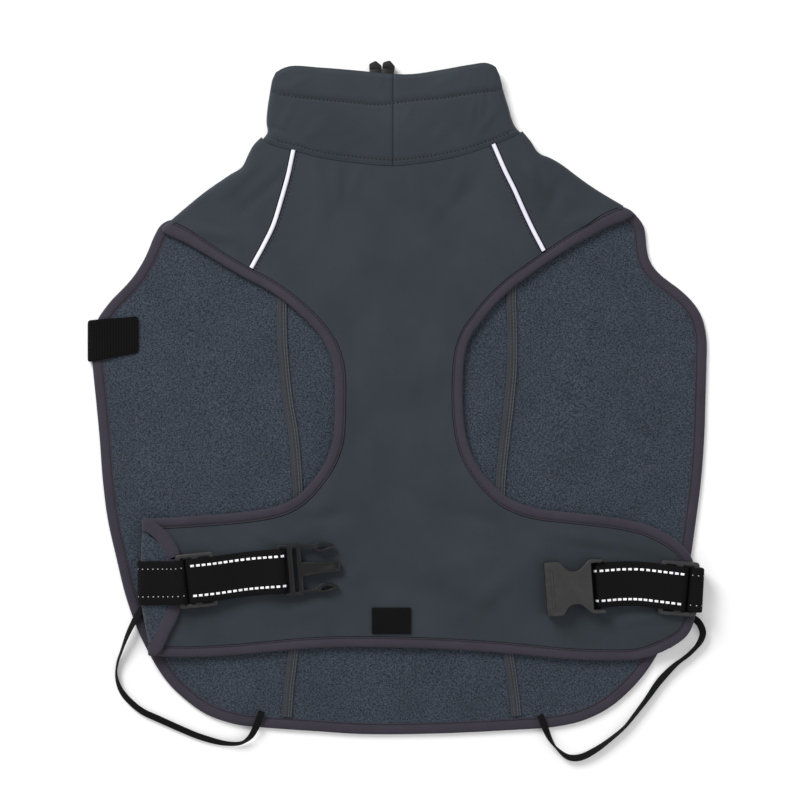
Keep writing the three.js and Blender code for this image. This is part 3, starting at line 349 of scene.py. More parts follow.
def creaseHeight(x, y, folds):
    z = np.zeros_like(np.asarray(x, float))
    for x0, y0, x1, y1, height, half in folds:
        dx, dy = x1 - x0, y1 - y0
        t = np.clip(((x - x0) * dx + (y - y0) * dy) / (dx * dx + dy * dy), 0, 1)
        distance = np.hypot(x - x0 - dx * t, y - y0 - dy * t)
        z = z + height * (1 - ease(distance / half)) * np.sin(math.pi * (0.12 + 0.76 * t))
    return z


# Height of the middle of the front layer.
def frontAt(x, y):
    x, y = np.asarray(x, float), np.asarray(y, float)
    z = cloth["front"] + (cloth["neck"] - cloth["front"]) * ease((y - 95) / 45)
    z = z + (cloth["flapEnd"] - cloth["front"]) * ease((-104 - x) / 26) * ease((-40 - y) / 25)
    z = z + (cloth["flapRight"] - cloth["front"]) * ease((x - 134) / 24) * ease((-60 - y) / 22)
    return z + creaseHeight(x, y, creases)


def lineY(table, x):
    table = np.asarray(table, float)
    return np.interp(x, table[:, 0], table[:, 1])


legLeftLine = smooth(legLeft)
legRightLine = smooth(legRight)


def tipTaper(line):
    wider = cloth["bindingTipWidth"] - cloth["bindingWidth"]
    return cloth["bindingWidth"] + wider * (1 - ease(shares(line) / 0.12))


legLeftCloth = offset(legLeftLine, tipTaper(legLeftLine) / 2 + 0.2)
legRightCloth = offset(legRightLine, -tipTaper(legRightLine) / 2 - 0.2)
backCloth = offset(smooth(backEdge), cloth["bindingWidth"] + 0.4)


def neckY(x):
    return lineY(collarSeam, x) - cloth["seamGap"]


neckLine = np.stack([np.arange(-77, 70, 1.0), neckY(np.arange(-77, 70, 1.0))], axis=1)


def atNeck(line):
    return np.vstack([line[:-1], [line[-1, 0], neckY(line[-1, 0])]])


def atBackNeck(line):
    return np.vstack([line[:-1], [line[-1, 0], lineY(backNeck, line[-1, 0]) - 0.7]])


# Closes a grid of middles and outer directions into a thin shell, the right side out and the fleece inside.
def clothObject(name, places, normals, outer=1.0, inner=1.0, present=None):
    rows, columns = places.shape[:2]
    outer = np.broadcast_to(outer, (rows, columns))[..., None]
    inner = np.broadcast_to(inner, (rows, columns))[..., None]
    ids, points, upper, lower = {}, [], [], []
    number = np.zeros((rows, columns), int)
    for j in range(rows):
        for i in range(columns):
            key = tuple(np.round(places[j, i] * 100).astype(int))
            if key not in ids:
                ids[key] = len(upper)
                upper.append(places[j, i] + normals[j, i] * outer[j, i])
                lower.append(places[j, i] - normals[j, i] * inner[j, i])
            number[j, i] = ids[key]
    faces, facing = [], 0
    for j in range(rows - 1):
        for i in range(columns - 1):
            if present is not None and not present[j, i]:
                continue
            quad = [number[j, i], number[j, i + 1], number[j + 1, i + 1], number[j + 1, i]]
            quad = [q for k, q in enumerate(quad) if q != quad[k - 1]]
            if len(set(quad)) < 3:
                continue
            across, upwards = places[j, i + 1] - places[j, i], places[j + 1, i] - places[j, i]
            facing += np.cross(across, upwards) @ normals[j, i]
            faces.append(quad)
    if facing < 0:
        faces = [f[::-1] for f in faces]
    used = sorted({q for f in faces for q in f})
    renumber = {q: k for k, q in enumerate(used)}
    faces = [[renumber[q] for q in f] for f in faces]
    upper, lower = [upper[q] for q in used], [lower[q] for q in used]
    n = len(upper)
    edges = {(f[k], f[(k + 1) % len(f)]) for f in faces for k in range(len(f))}
    walls = [(b, a, a + n, b + n) for a, b in edges if (b, a) not in edges]
    every = faces + [[q + n for q in f[::-1]] for f in faces] + walls
    indices = [0] * len(faces) + [1] * len(faces) + [0] * len(walls)
    sheets = ["coatShell", "coatFleece"]
    return meshObject(name, np.vstack([upper, lower]) * mm, every, sheets, indices, smoothAngle=60)


def lift(plane, heights):
    return np.concatenate([plane, np.asarray(heights)[..., None]], axis=-1)


def surfaceNormals(plane, height):
    x, y = plane[..., 0], plane[..., 1]
    dx = height(x + 0.5, y) - height(x - 0.5, y)
    dy = height(x, y + 0.5) - height(x, y - 0.5)
    return unit(np.stack([-dx, -dy, np.ones_like(dx)], axis=-1))


def frontDressed(x, y):
    return frontAt(x, y) + 2 * creaseHeight(x, y, fineCreases)


def levelRow(plane, z):
    return lift(plane, np.full(plane.shape[:-1], float(z)))


# Soft waves of the back where nothing lies on it, seen through the leg openings.
backWaves = [
    (-120, 60, -96, -40, 0.5, 16), (-150, 20, -140, -70, 0.35, 12), (110, 64, 92, -50, 0.5, 16),
    (146, 30, 136, -60, 0.35, 12), (-20, -156, 60, -166, 0.4, 10)]


def fleeceThick(x, y):
    return 1.0 + creaseHeight(x, y, backWaves)


def shoulderFold(table, inward):
    outerLine = smooth(table)
    d = headings(outerLine)
    radius = (frontAt(outerLine[:, 0], outerLine[:, 1]) - cloth["back"]) / 2
    return outerLine + np.stack([-d[:, 1], d[:, 0]], axis=1) * inward * (radius + cloth["thick"] / 2)[:, None]


def shoulderArc(inner, inward, t, steps):
    c, a, b = along(inner, t)[0], along(inner, max(0, t - 0.04))[0], along(inner, min(1, t + 0.04))[0]
    d = (b - a) / np.linalg.norm(b - a)
    n = np.array([-d[1], d[0]]) * inward
    top = float(frontDressed(c[0], c[1]))
    radius = (top - cloth["back"]) / 2
    places, normals = [], []
    for k in range(steps + 1):
        angle = math.pi * (k / steps - 0.5)
        out = radius * math.cos(angle)
        places.append((c[0] - n[0] * out, c[1] - n[1] * out, cloth["back"] + radius * (1 + math.sin(angle))))
        normals.append((-n[0] * math.cos(angle), -n[1] * math.cos(angle), math.sin(angle)))
    return places, normals


sides = {
    "left": {"fold": foldLeft, "chest": chestLeft, "leg": legLeftCloth, "seam": seamLeft, "inward": -1,
             "gap": -0.15, "hem": (-106, -176), "tip": (-134, 94), "neck": (-64, 151)},
    "right": {"fold": foldRight, "chest": chestRight, "leg": legRightCloth, "seam": seamRight, "inward": 1,
              "gap": 0.15, "hem": (100, -179), "tip": (131, 100), "neck": (59, 152.6)},
}
grid = {"frontColumns": 20, "backColumns": 34, "arc": 12, "upperRows": 32, "lowerRows": 96, "splitY": 92}


def sidePanel(name, side):
    inner = shoulderFold(side["fold"], side["inward"])
    rise = neckY(inner[-1, 0]) + 0.3 - inner[-1, 1]
    inner = inner + np.outer(ease((shares(inner) - 0.7) / 0.3), [0, rise])
    inner = np.vstack([inner[0] - 2.4 * headings(inner)[0], inner])
    chestLine = atNeck(smooth(side["chest"])[::-1] + [side["gap"], 0])
    seamLine = atBackNeck(smooth(side["seam"]) + [side["gap"], 0])
    legEdge = ends(between(side["leg"], inner[0], chestLine[0]), inner[0], chestLine[0])
    neckEdge = ends(between(neckLine, inner[-1], chestLine[-1]), inner[-1], chestLine[-1])
    front = patch(legEdge, neckEdge, inner, chestLine, grid["frontColumns"], grid["upperRows"])
    seamUpper = between(seamLine, (seamLine[0, 0], grid["splitY"]), side["neck"])
    seamLower = between(seamLine, side["seam"][0], (seamUpper[0, 0], grid["splitY"]))
    edge = np.vstack([between(backCloth, side["hem"], side["tip"]), inner[0]])
    hem = ends(between(backCloth, side["hem"], seamLower[0]), edge[0], seamLower[0])
    across, top = np.array([inner[0], seamLower[-1]]), np.array([inner[-1], seamUpper[-1]])
    upper = patch(across, top, inner, seamUpper, grid["backColumns"], grid["upperRows"])
    lower = patch(hem, across, edge, seamLower, grid["backColumns"], grid["lowerRows"])
    before = grid["frontColumns"] + grid["arc"]
    rows, rowNormals, thickness = [], [], []
    down = np.array([0, 0, -1.0])
    for row in lower[:-1]:
        blank = np.tile([0, 0, cloth["back"]], (before, 1))
        rows.append(np.vstack([blank, levelRow(row, cloth["back"])]))
        rowNormals.append(np.tile(down, (before + len(row), 1)))
        thickness.append(np.concatenate([np.ones(before), fleeceThick(row[:, 0], row[:, 1])]))
    for j, row in enumerate(upper):
        part = front[j, 1:][::-1]
        frontPart = lift(part, frontDressed(part[:, 0], part[:, 1]))
        arcPlaces, arcNormals = shoulderArc(inner, side["inward"], j / grid["upperRows"], grid["arc"])
        rows.append(np.vstack([frontPart, arcPlaces[:0:-1], levelRow(row, cloth["back"])]))
        level = np.tile(down, (len(row), 1))
        rowNormals.append(np.vstack([surfaceNormals(part, frontDressed), arcNormals[:0:-1], level]))
        thickness.append(np.concatenate([np.ones(before), fleeceThick(row[:, 0], row[:, 1])]))
    places, normals = np.array(rows), np.array(rowNormals)
    present = np.ones((len(rows) - 1, places.shape[1] - 1), bool)
    present[:grid["lowerRows"], :before] = False
    return clothObject(name, places, normals, inner=np.array(thickness), present=present)


def backCentre():
    left = atBackNeck(smooth(seamLeft) + [0.15, 0])
    right = atBackNeck(smooth(seamRight) - [0.15, 0])
    hem = between(backCloth, left[0], right[0])
    lower = ends(hem, (left[0, 0], hem[0, 1]), (right[0, 0], hem[-1, 1]))
    xs = np.linspace(left[-1, 0], right[-1, 0], 7)
    neck = np.stack([xs, lineY(backNeck, xs) - 0.7], axis=1)
    plane = patch(lower, neck, ends(left, lower[0], neck[0]), ends(right, lower[-1], neck[-1]), 50, 130)
    places = levelRow(plane, cloth["back"])
    normals = np.broadcast_to(np.array([0, 0, -1.0]), places.shape)
    fleece = fleeceThick(plane[..., 0], plane[..., 1])
    return clothObject("back_centre_cloth", places, normals, inner=fleece)


def frontPanel():
    leftSeam = atNeck(smooth(chestLeft)[::-1] + [0.15, 0])[::-1]
    rightSeam = atNeck(smooth(chestRight)[::-1] - [0.15, 0])[::-1]
    kneeLeft, kneeRight = (-57.5, -62), (60, -62)
    legL = between(legLeftCloth, leftSeam[-1], kneeLeft)
    legR = between(legRightCloth, rightSeam[-1], kneeRight)
    left = np.vstack([leftSeam, legL[1:]])[::-1]
    right = np.vstack([rightSeam, legR[1:]])[::-1]
    neck = ends(between(neckLine, leftSeam[0], rightSeam[0]), leftSeam[0], rightSeam[0])
    waist = smooth([left[0], (0, -64), right[0]])
    chestColumns, chestRows, flapRows, endColumns, tipColumns, turn = 52, 100, 40, 36, 8, 12
    chest = patch(waist, neck, left, right, chestColumns, chestRows)
    foldLine = smooth(tipFold)
    lowerEdge = offset(smooth(flapLower), cloth["bindingWidth"] / 2 + 0.2)
    endLine = legRightCloth[nearest(legRightCloth, (157, -92)):]
    legEnd = ends(between(legLeftCloth, foldLine[-1], kneeLeft), foldLine[-1], left[0])
    legEndRight = ends(between(legRightCloth, kneeRight, endLine[0]), right[0], endLine[0])
    corner = endLine[-1]
    lowLeft, lowRight = (lowerEdge[nearest(lowerEdge, (x, -141))] for x in (-50, 58))
    seamA, seamB = np.array([lowLeft, left[0]]), np.array([lowRight, right[0]])
    hemLeft = ends(between(lowerEdge, tipFold[0], lowLeft), foldLine[0], lowLeft)
    hemMiddle = ends(between(lowerEdge, lowLeft, lowRight), lowLeft, lowRight)
    hemRight = ends(between(lowerEdge, lowRight, corner), lowRight, corner)
    flapLeft = patch(hemLeft, legEnd, foldLine, seamA, endColumns, flapRows)
    flapMiddle = patch(hemMiddle, waist, seamA, seamB, chestColumns, flapRows)
    rightEnd = ends(endLine[::-1], corner, endLine[0])
    flapRight = patch(hemRight, legEndRight, seamB, rightEnd, endColumns, flapRows)
    under = np.array([2.4, 0])  # how far the folded tip runs under its binding
    tipLow, tipHigh = smooth(tipLower), smooth(tipUpper)
    tipLow = tipLow + np.outer(1 - ease((shares(tipLow) - 0.75) / 0.25), under)
    tipHigh = tipHigh + np.outer(1 - ease((shares(tipHigh) - 0.75) / 0.25), under)
    tip = patch(tipLow, tipHigh, np.array([tipLow[0], tipHigh[0]]), foldLine, tipColumns, flapRows)
    rows, rowNormals = [], []
    radius = cloth["tipFoldRadius"]
    for j in range(flapRows + 1):
        fold = along(foldLine, j / flapRows)[0]
        base = float(frontAt(fold[0], fold[1]))
        arc, arcNormals = [], []
        for k in range(1, turn):
            angle = math.pi * (0.5 - k / turn)
            arc.append((fold[0] - radius * math.cos(angle), fold[1], base + radius * (1 + math.sin(angle))))
            arcNormals.append((math.cos(angle), 0, -math.sin(angle)))
        flat = np.vstack([flapLeft[j], flapMiddle[j][1:], flapRight[j][1:]])
        flatPart = lift(flat, frontDressed(flat[:, 0], flat[:, 1]))
        rows.append(np.vstack([levelRow(tip[j], base + 2 * radius), arc, flatPart]))
        tipNormals = np.tile([0, 0, -1.0], (tipColumns + 1, 1))
        rowNormals.append(np.vstack([tipNormals, arcNormals, surfaceNormals(flat, frontDressed)]))
    before = tipColumns + turn + endColumns
    for j in range(1, chestRows + 1):
        row = chest[j]
        blank = np.zeros((before, 3))
        after = np.zeros((endColumns, 3))
        rows.append(np.vstack([blank, lift(row, frontDressed(row[:, 0], row[:, 1])), after]))
        up = [0, 0, 1]
        rowNormals.append(np.vstack([blank + up, surfaceNormals(row, frontDressed), after + up]))
    places, normals = np.array(rows), np.array(rowNormals)
    present = np.zeros((len(rows) - 1, places.shape[1] - 1), bool)
    present[:flapRows] = True
    present[flapRows:, before:before + chestColumns] = True
    return clothObject("front_cloth", places, normals, present=present)


# Collar wrinkles: ridges that lean across it
collarRipples = [
    (-70, 150, -60, 168, 0.45, 4), (-56, 146, -40, 160, 0.3, 5), (-36, 142, -18, 152, 0.25, 5),
    (14, 142, 30, 158, 0.3, 5), (44, 150, 56, 166, 0.45, 4), (58, 156, 54, 172, 0.35, 3.5),
    (-66, 176, -50, 184, 0.3, 4), (20, 178, 34, 185, 0.3, 4), (-12, 176, -10, 184, 0.25, 3),
    (40, 152, 43, 172, 0.35, 2.6), (46, 154, 49, 186, 0.35, 2.4), (52, 158, 53.5, 184, 0.35, 2.2),
    (-73, 156, -66, 152, -0.5, 2.6), (4, 160, 8, 168, 0.3, 3)]
casingTable = [
    (-71.8, 174.4), (-56.4, 172.1), (-45, 171), (-27.9, 169.3), (-10.8, 167.9), (-3.4, 168.7), (6.3, 170.1),
    (23.4, 171.6), (34.8, 173.3), (46.2, 175), (57.6, 176.1)]
casingLine = smooth(casingTable)


def collarBulge(x, y):
    seam = lineY(collarSeam, x)
    casing = lineY(casingLine, x)
    top = lineY(collarTop, x)
    hill = 0.5 * ease((y - seam) / 3) * (1 - 0.55 * np.exp(-((y - seam - 3.4) / 0.9) ** 2))
    groove = -0.45 * np.exp(-((y - casing) / 0.9) ** 2)
    puff = 0.5 * ease((y - casing) / 4) * ease((top - y) / 3)
    centre = -0.5 * np.exp(-((x - collarCentre) / 0.8) ** 2)
    return 0.55 + hill + groove + puff + centre + creaseHeight(x, y, collarRipples)


collarGrid = {"rows": 96, "front": 50, "back": 40, "turn": 12, "bow": 0.45}


def collar():
    left, right = smooth(collarFoldLeft), smooth(collarFoldRight)
    frontCount, backCount = collarGrid["front"], collarGrid["back"]
    turnR = np.linspace(math.pi / 2, -math.pi / 2, collarGrid["turn"] + 1)[1:-1]
    turnL = np.linspace(-math.pi / 2, math.pi / 2, collarGrid["turn"] + 1)[1:-1]
    outR, outL = np.cos(turnR) ** 2, np.cos(turnL) ** 2
    up, down = np.array([0, 0, 1.0]), np.array([0, 0, -1.0])
    ringNormals = np.vstack([
        np.tile(up, (frontCount, 1)), np.stack([np.cos(turnR), 0 * turnR, np.sin(turnR)], axis=1),
        np.tile(down, (backCount, 1)), np.stack([-np.cos(turnL), 0 * turnL, np.sin(turnL)], axis=1),
        np.tile(up, (frontCount, 1))])
    facing = ringNormals[:, 2]
    rows, outer = [], []
    for v in np.linspace(0, 1, collarGrid["rows"] + 1):
        radius = (cloth["neck"] - cloth["back"]) / 2 + collarGrid["bow"] * math.sin(math.pi * v)
        a, b = along(left, v)[0], along(right, v)[0]
        xFrom, xTo = a[0] + radius + 1, b[0] - radius - 1
        fx = np.linspace(collarCentre + 0.15, xTo, frontCount)
        bx = np.linspace(xTo, xFrom, backCount)
        gx = np.linspace(xFrom, collarCentre - 0.15, frontCount)
        frontY, leftY = (lineY(collarSeam, x) * (1 - v) + lineY(collarTop, x) * v for x in (fx, gx))
        backY = lineY(backNeck, bx) * (1 - v) + (lineY(collarTop, bx) - 0.8) * v
        frontZ = cloth["back"] + 2 * radius
        atR = np.where(turnR > 0, frontY[-1], backY[0]) * (1 - outR) + b[1] * outR
        atL = np.where(turnL > 0, leftY[0], backY[-1]) * (1 - outL) + a[1] * outL
        zR, zL = (cloth["back"] + radius * (1 + np.sin(turn)) for turn in (turnR, turnL))
        places = np.vstack([
            levelRow(np.stack([fx, frontY], axis=1), frontZ),
            np.stack([xTo + radius * np.cos(turnR), atR, zR], axis=1),
            levelRow(np.stack([bx, backY], axis=1), cloth["back"]),
            np.stack([xFrom - radius * np.cos(turnL), atL, zL], axis=1),
            levelRow(np.stack([gx, leftY], axis=1), frontZ)])
        bulge = collarBulge(places[:, 0], places[:, 1])
        raised = np.maximum(0.35, bulge * (0.35 + 0.65 * np.maximum(0, facing)))
        rim = 1 - 0.5 * (1 - ease((1 - v) / 0.05))
        outer.append(np.where(facing > -0.05, raised, 1.0) * rim)
        rows.append(places)
    normals = np.broadcast_to(ringNormals, (len(rows), *ringNormals.shape))
    return clothObject("collar_cloth", np.array(rows), normals, np.array(outer))


def ridesAs(piece, slotName, *nodes):
    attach(piece, "root")
    if nodes:
        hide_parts(*nodes)


ridesAs(sidePanel("back_left_cloth", sides["left"]), "softshell", "back_side_left")
ridesAs(sidePanel("back_right_cloth", sides["right"]), "softshell", "back_side_right")
ridesAs(backCentre(), "softshell", "back_centre")
ridesAs(frontPanel(), "softshell", "front_panel")
ridesAs(collar(), "softshell", "collar")
print("cloth panels made")

# Sewing: one small spindle for each stitch, all of a piece in one mesh.
stitchShape = [(-0.5, 0.3), (-0.34, 0.95), (0, 1.1), (0.34, 0.95), (0.5, 0.3)]


def stitches(name, rows, pitch, length, radius, material):
    points, faces = [], []
    ringCount, around = len(stitchShape), 6
    angles = [2 * math.pi * k / around for k in range(around)]
    for line, normals in rows:
        count = max(1, int(lengthOf(line) / pitch))
        at = (np.arange(count) + 0.5) / count
        s = shares(line)
        ahead = headings(line)
        centres = along(line, at)
        d = np.stack([np.interp(at, s, ahead[:, k]) for k in range(3)], axis=1)
        n = np.stack([np.interp(at, s, normals[:, k]) for k in range(3)], axis=1)
        d = unit(d)
        side = unit(np.cross(d, n))
        n = np.cross(side, d)
        for c, a, b, u in zip(centres, d, side, n):
            first = len(points)
            for share, fat in stitchShape:
                for angle in angles:
                    points.append(c + a * (share * length) + b * (radius * fat * math.cos(angle))
                                  + u * (radius * fat * 0.8 * math.sin(angle)))
            for r in range(ringCount - 1):
                for k in range(around):
                    q = first + r * around
                    faces.append((q + k, q + (k + 1) % around, q + around + (k + 1) % around, q + around + k))
            faces.append(tuple(first + k for k in range(around))[::-1])
            faces.append(tuple(first + (ringCount - 1) * around + k for k in range(around)))
    made = meshObject(name, np.array(points) * mm, faces, [material])
    turnOutwards(made)
    return made


# Stations of a flat trim: middles, normals and the direction to the right of its run.
def flatStations(line, height, lifted=0.0):
    middle = lift(line, height(line[:, 0], line[:, 1]) + lifted)
    normals = surfaceNormals(line, height)
    return middle, normals, unit(np.cross(headings(middle), normals))


def level(value):
    return lambda x, y: np.full(np.shape(x), float(value))


# Binding folded over an edge: round outer fold, flat inner leaf with a sewn groove. The first number is the
# share of the width, positive at the outer fold, and the second the share of the thickness.
bindingSection = [
    (-0.5, -0.4), (-0.3, -0.5), (0, -0.5), (0.3, -0.5), (0.44, -0.4), (0.5, -0.1), (0.49, 0.14),
    (0.43, 0.34), (0.32, 0.46), (0.15, 0.5), (-0.04, 0.47), (-0.19, 0.4), (-0.27, 0.3), (-0.33, 0.14),
    (-0.385, 0.28), (-0.44, 0.3), (-0.485, 0.18), (-0.5, 0)]


def mirroredSection(section, outerSide):
    return [(a * outerSide, b) for a, b in section]


def shoulderTurn(centre, inner, inward, steps=14):
    d = headings(inner)[2]
    n = np.array([-d[1], d[0]]) * inward
    low, high = cloth["bindingThick"] / 2, float(frontAt(centre[0], centre[1]))
    radius = (high - low) / 2
    angle = math.pi * (np.arange(steps + 1) / steps - 0.5)
    out = radius * np.cos(angle)
    z = low + radius * (1 + np.sin(angle))
    middle = np.stack([centre[0] - n[0] * out, centre[1] - n[1] * out, z], axis=1)
    normals = np.stack([-n[0] * np.cos(angle), -n[1] * np.cos(angle), np.sin(angle)], axis=1)
    right = np.tile([n[1], -n[0], 0], (steps + 1, 1))
    return middle, normals, right


# Binding round the flap's folded end, from the flap up onto the folded tip.
def flapTurn(y, rightY, steps=12):
    foldLine = smooth(tipFold)
    centre = foldLine[nearest(foldLine, (-145, y))]
    base, radius = float(frontAt(centre[0], y)), cloth["tipFoldRadius"]
    angle = math.pi * (0.5 - np.arange(steps + 1) / steps)
    x, z = centre[0] - radius * np.cos(angle), base + radius * (1 - np.sin(angle))
    middle = np.stack([x, np.full(steps + 1, y), z], axis=1)
    normals = np.stack([np.cos(angle), 0 * angle, np.sin(angle)], axis=1)
    return middle, normals, np.tile([0, rightY, 0.0], (steps + 1, 1))


def onTip(line, z):
    middle = levelRow(line, z)
    normals = np.tile([0, 0, -1.0], (len(line), 1))
    return middle, normals, np.cross(headings(middle), normals)


# Joins the parts of a trim. Each begins where the last one ends.
def joinStations(first, *others):
    parts = [first] + [tuple(a[1:] for a in part) for part in others]
    return tuple(np.vstack([part[k] for part in parts]) for k in range(3))


# Softens the joints between the parts of a trim.
def relax(stations, rounds=3):
    middle, normals, right = (np.array(a) for a in stations)
    for _ in range(rounds):
        for a in (middle, normals, right):
            a[2:-2] = (a[1:-3] + 2 * a[2:-2] + a[3:-1]) / 4
    normals = unit(normals)
    return middle, normals, unit(right - normals * np.sum(right * normals, axis=1)[:, None])


# Line on a trim, at shares of its width and thickness from the middle.
def railOf(stations, width, thick, a, b):
    middle, normals, right = stations
    line = middle + right * (a * np.reshape(width, (-1, 1)))
    return line + normals * (b * np.reshape(thick, (-1, 1))), normals


sewing = {"pitch": 2.25, "length": 1.25, "radius": 0.3, "groove": -0.33, "depth": 0.24}


def makeBinding(name, node, stations, width, outerSide):
    thick = cloth["bindingThick"]
    section = mirroredSection(bindingSection, outerSide)
    made = sweep(name, *stations, width, thick, section, "bindingTwill", smoothAngle=60)
    ridesAs(made, "binding", node)
    rail = railOf(stations, width, thick, sewing["groove"] * outerSide, sewing["depth"])
    sewn = stitches(name + "_stitches", [rail], sewing["pitch"], sewing["length"], sewing["radius"],
                    "bindingThread")
    ridesAs(sewn, "binding")


def stepped(line, step=1.6):
    return resample(line, max(2, int(lengthOf(line) / step)))


legLeftFront = stepped(legLeftLine)
legRightFront = stepped(legRightLine)
flapHem = stepped(smooth(flapLower + [(154.6, -138.4)]))
turnLeft = shoulderTurn(legLeftLine[0], shoulderFold(foldLeft, -1), -1)
turnRight = shoulderTurn(legRightLine[0], shoulderFold(foldRight, 1), 1)
flapTop = flapTurn(legLeftLine[-1, 1], 1)
tipTop, tipLow = stepped(smooth(tipTopBinding)), stepped(smooth(tipLowBinding))
legLeftStations = joinStations(turnLeft, flatStations(legLeftFront, frontDressed), flapTop,
                               onTip(tipTop, flapTop[0][-1, 2]))
legRightStations = joinStations(turnRight, flatStations(legRightFront, frontDressed))
flapLow = tuple(a[::-1] for a in flapTurn(flapLower[0][1], -1))
flapStations = joinStations(onTip(tipLow, flapLow[0][0, 2]), flapLow, flatStations(flapHem, frontDressed))
hemWidth = cloth["bindingWidth"] + cloth["hemExtra"]
hemMiddle = offset(smooth(backEdge), hemWidth / 2)
hemStart, hemEnd = [(-128.4, 99.6), (-132, 98.8), (-134.6, 96.8)], [(131, 105.4), (127.2, 107.1)]
hemMiddle = smooth([*hemStart, *hemMiddle[::6], hemMiddle[-1], *hemEnd])
hemStations = flatStations(stepped(hemMiddle), level(cloth["bindingThick"] / 2))


# Widths along a leg opening: wide over the shoulder, then even, then over the flap's folded end.
def legWidths(front, turn, stations):
    taper = tipTaper(front)[1:]
    after = len(stations[0]) - len(turn[0]) - len(taper)
    return np.concatenate([np.full(len(turn[0]), cloth["bindingTipWidth"]), taper,
                           np.full(after, cloth["tapeOnTip"])])


legLeftWidth = legWidths(legLeftFront, turnLeft, legLeftStations)
legRightWidth = legWidths(legRightFront, turnRight, legRightStations)
isOnTip = np.arange(len(flapStations[0])) < len(tipLow)
flapWidth = np.where(isOnTip, cloth["tapeUnderTip"], cloth["bindingWidth"])
makeBinding("binding_leg_left_tape", "binding_leg_left", relax(legLeftStations), legLeftWidth, 1)
makeBinding("binding_leg_right_tape", "binding_leg_right", relax(legRightStations), legRightWidth, -1)
makeBinding("binding_flap_tape", "binding_flap", relax(flapStations), flapWidth, 1)
makeBinding("binding_back_tape", "binding_back", hemStations, hemWidth, 1)
print("bindings made")

# Tapes over the back seams, sewn with two rows
tapeSection = [
    (-0.5, -0.5), (0.5, -0.5), (0.5, 0.1), (0.47, 0.4), (0.4, 0.5), (0.33, 0.4), (0.28, 0), (0.23, 0.4),
    (0.16, 0.5), (0.09, 0.4), (0.04, 0), (-0.02, 0.3), (-0.1, 0.44), (-0.22, 0.44), (-0.3, 0.3), (-0.34, 0.5),
    (-0.44, 0.5), (-0.5, 0.2)]
# The two pale rows sit on the tape's ridges. Their pale colour is thread and also painted highlight on those
# ridges.
tapeRows = [
    {"at": -0.16, "pitch": 1.5, "length": 0.95, "radius": 0.34, "material": "tapeThread"},
    {"at": 0.16, "pitch": 2.3, "length": 2.1, "radius": 0.17, "material": "paleThreadRidgeHighlight"},
    {"at": 0.4, "pitch": 2.3, "length": 2.1, "radius": 0.17, "material": "paleThreadRidgeHighlight"}]
tape = {"width": 5.8, "thick": 0.9, "low": -182, "height": 2.65, "stitchHeight": 0.44}


def makeTape(name, node, seamTable, topY):
    part = between(smooth(seamTable), (seamTable[0][0], tape["low"]), (seamTable[-1][0], topY))
    stations = flatStations(stepped(part, 2), level(tape["height"]))
    size = (tape["width"], tape["thick"])
    ridesAs(sweep(name, *stations, *size, tapeSection, "seamTape", smoothAngle=60), "fleece", node)
    for number, row in enumerate(tapeRows):
        thread = dict(row)
        rail = railOf(stations, *size, thread.pop("at"), tape["stitchHeight"])
        ridesAs(stitches(f"{name}_stitches_{number}", [rail], **thread), "fleece")


makeTape("tape_left", "seam_tape_left", seamLeft, 147)
makeTape("tape_right", "seam_tape_right", seamRight, 149)

# Reflective piping on a flange whose dark colour is painted shade along its edges, with a row of stitches
# beside it
pipingSection = [
    (-0.5, -0.5), (0.5, -0.5), (0.5, -0.1), (0.42, 0.24), (0.24, 0.45), (0, 0.5), (-0.24, 0.45),
    (-0.42, 0.24), (-0.5, -0.1)]
piping = {"size": (2.4, 1.3), "height": 1.35, "under": 2.4, "flange": (3.9, 0.3), "flangeHeight": 1,
          "sewnAt": 2.7, "sewnHeight": 1.1}


def makePiping(name, node, chestTable, sewnSide):
    line = smooth(chestTable)
    line = stepped(np.vstack([line, line[-1] + piping["under"] * headings(line)[-1]]), 1.2)
    stations = flatStations(line, frontDressed, piping["height"])
    made = sweep(name, *stations, *piping["size"], pipingSection, "pipingWhite", smoothAngle=60)
    ridesAs(made, "piping", node)
    # The flange's dark colour is painted shade beside the piping.
    stations = flatStations(line, frontDressed, piping["flangeHeight"])
    made = sweep(name + "_shade_flange", *stations, *piping["flange"], pipingSection, "seamShadow", smoothAngle=60)
    ridesAs(made, "piping")
    sewnLine = flatStations(offset(line, -piping["sewnAt"] * sewnSide), frontDressed, piping["sewnHeight"])
    ridesAs(stitches(name + "_stitches", [sewnLine[:2]], 2.25, 1.1, 0.34, "shellThread"), "piping")


makePiping("piping_left_cord", "piping_left", chestLeft, -1)
makePiping("piping_right_cord", "piping_right", chestRight, 1)
print("tapes and piping made")

# Collar stitches: above the seam to the body, along the drawcord casing
def collarRow(line, above, x0, x1):
    x = np.linspace(x0, x1, 120)
    y = lineY(line, x) + above
    v = np.clip((y - lineY(collarSeam, x)) / (lineY(collarTop, x) - lineY(collarSeam, x)), 0, 1)
    radius = (cloth["neck"] - cloth["back"]) / 2 + collarGrid["bow"] * np.sin(math.pi * v)
    z = cloth["back"] + 2 * radius + collarBulge(x, y) + 0.2
    return np.stack([x, y, z], axis=1), np.tile([0, 0, 1.0], (len(x), 1))


collarRows = [collarRow(collarSeam, 3.4, -70, 63), collarRow(casingLine, 0, -69, 56)]
ridesAs(stitches("collar_stitches", collarRows, 2.25, 1.1, 0.42, "shellThread"), "softshell")

# Straps: side paths as the solids have them (x and z), and the plan of their middles (x and y)
def arcPoints(x, z, radius, start, stop, steps=10):
    angles = np.radians(np.linspace(start, stop, steps + 1))
    return [(x + radius * math.cos(a), z + radius * math.sin(a)) for a in angles]


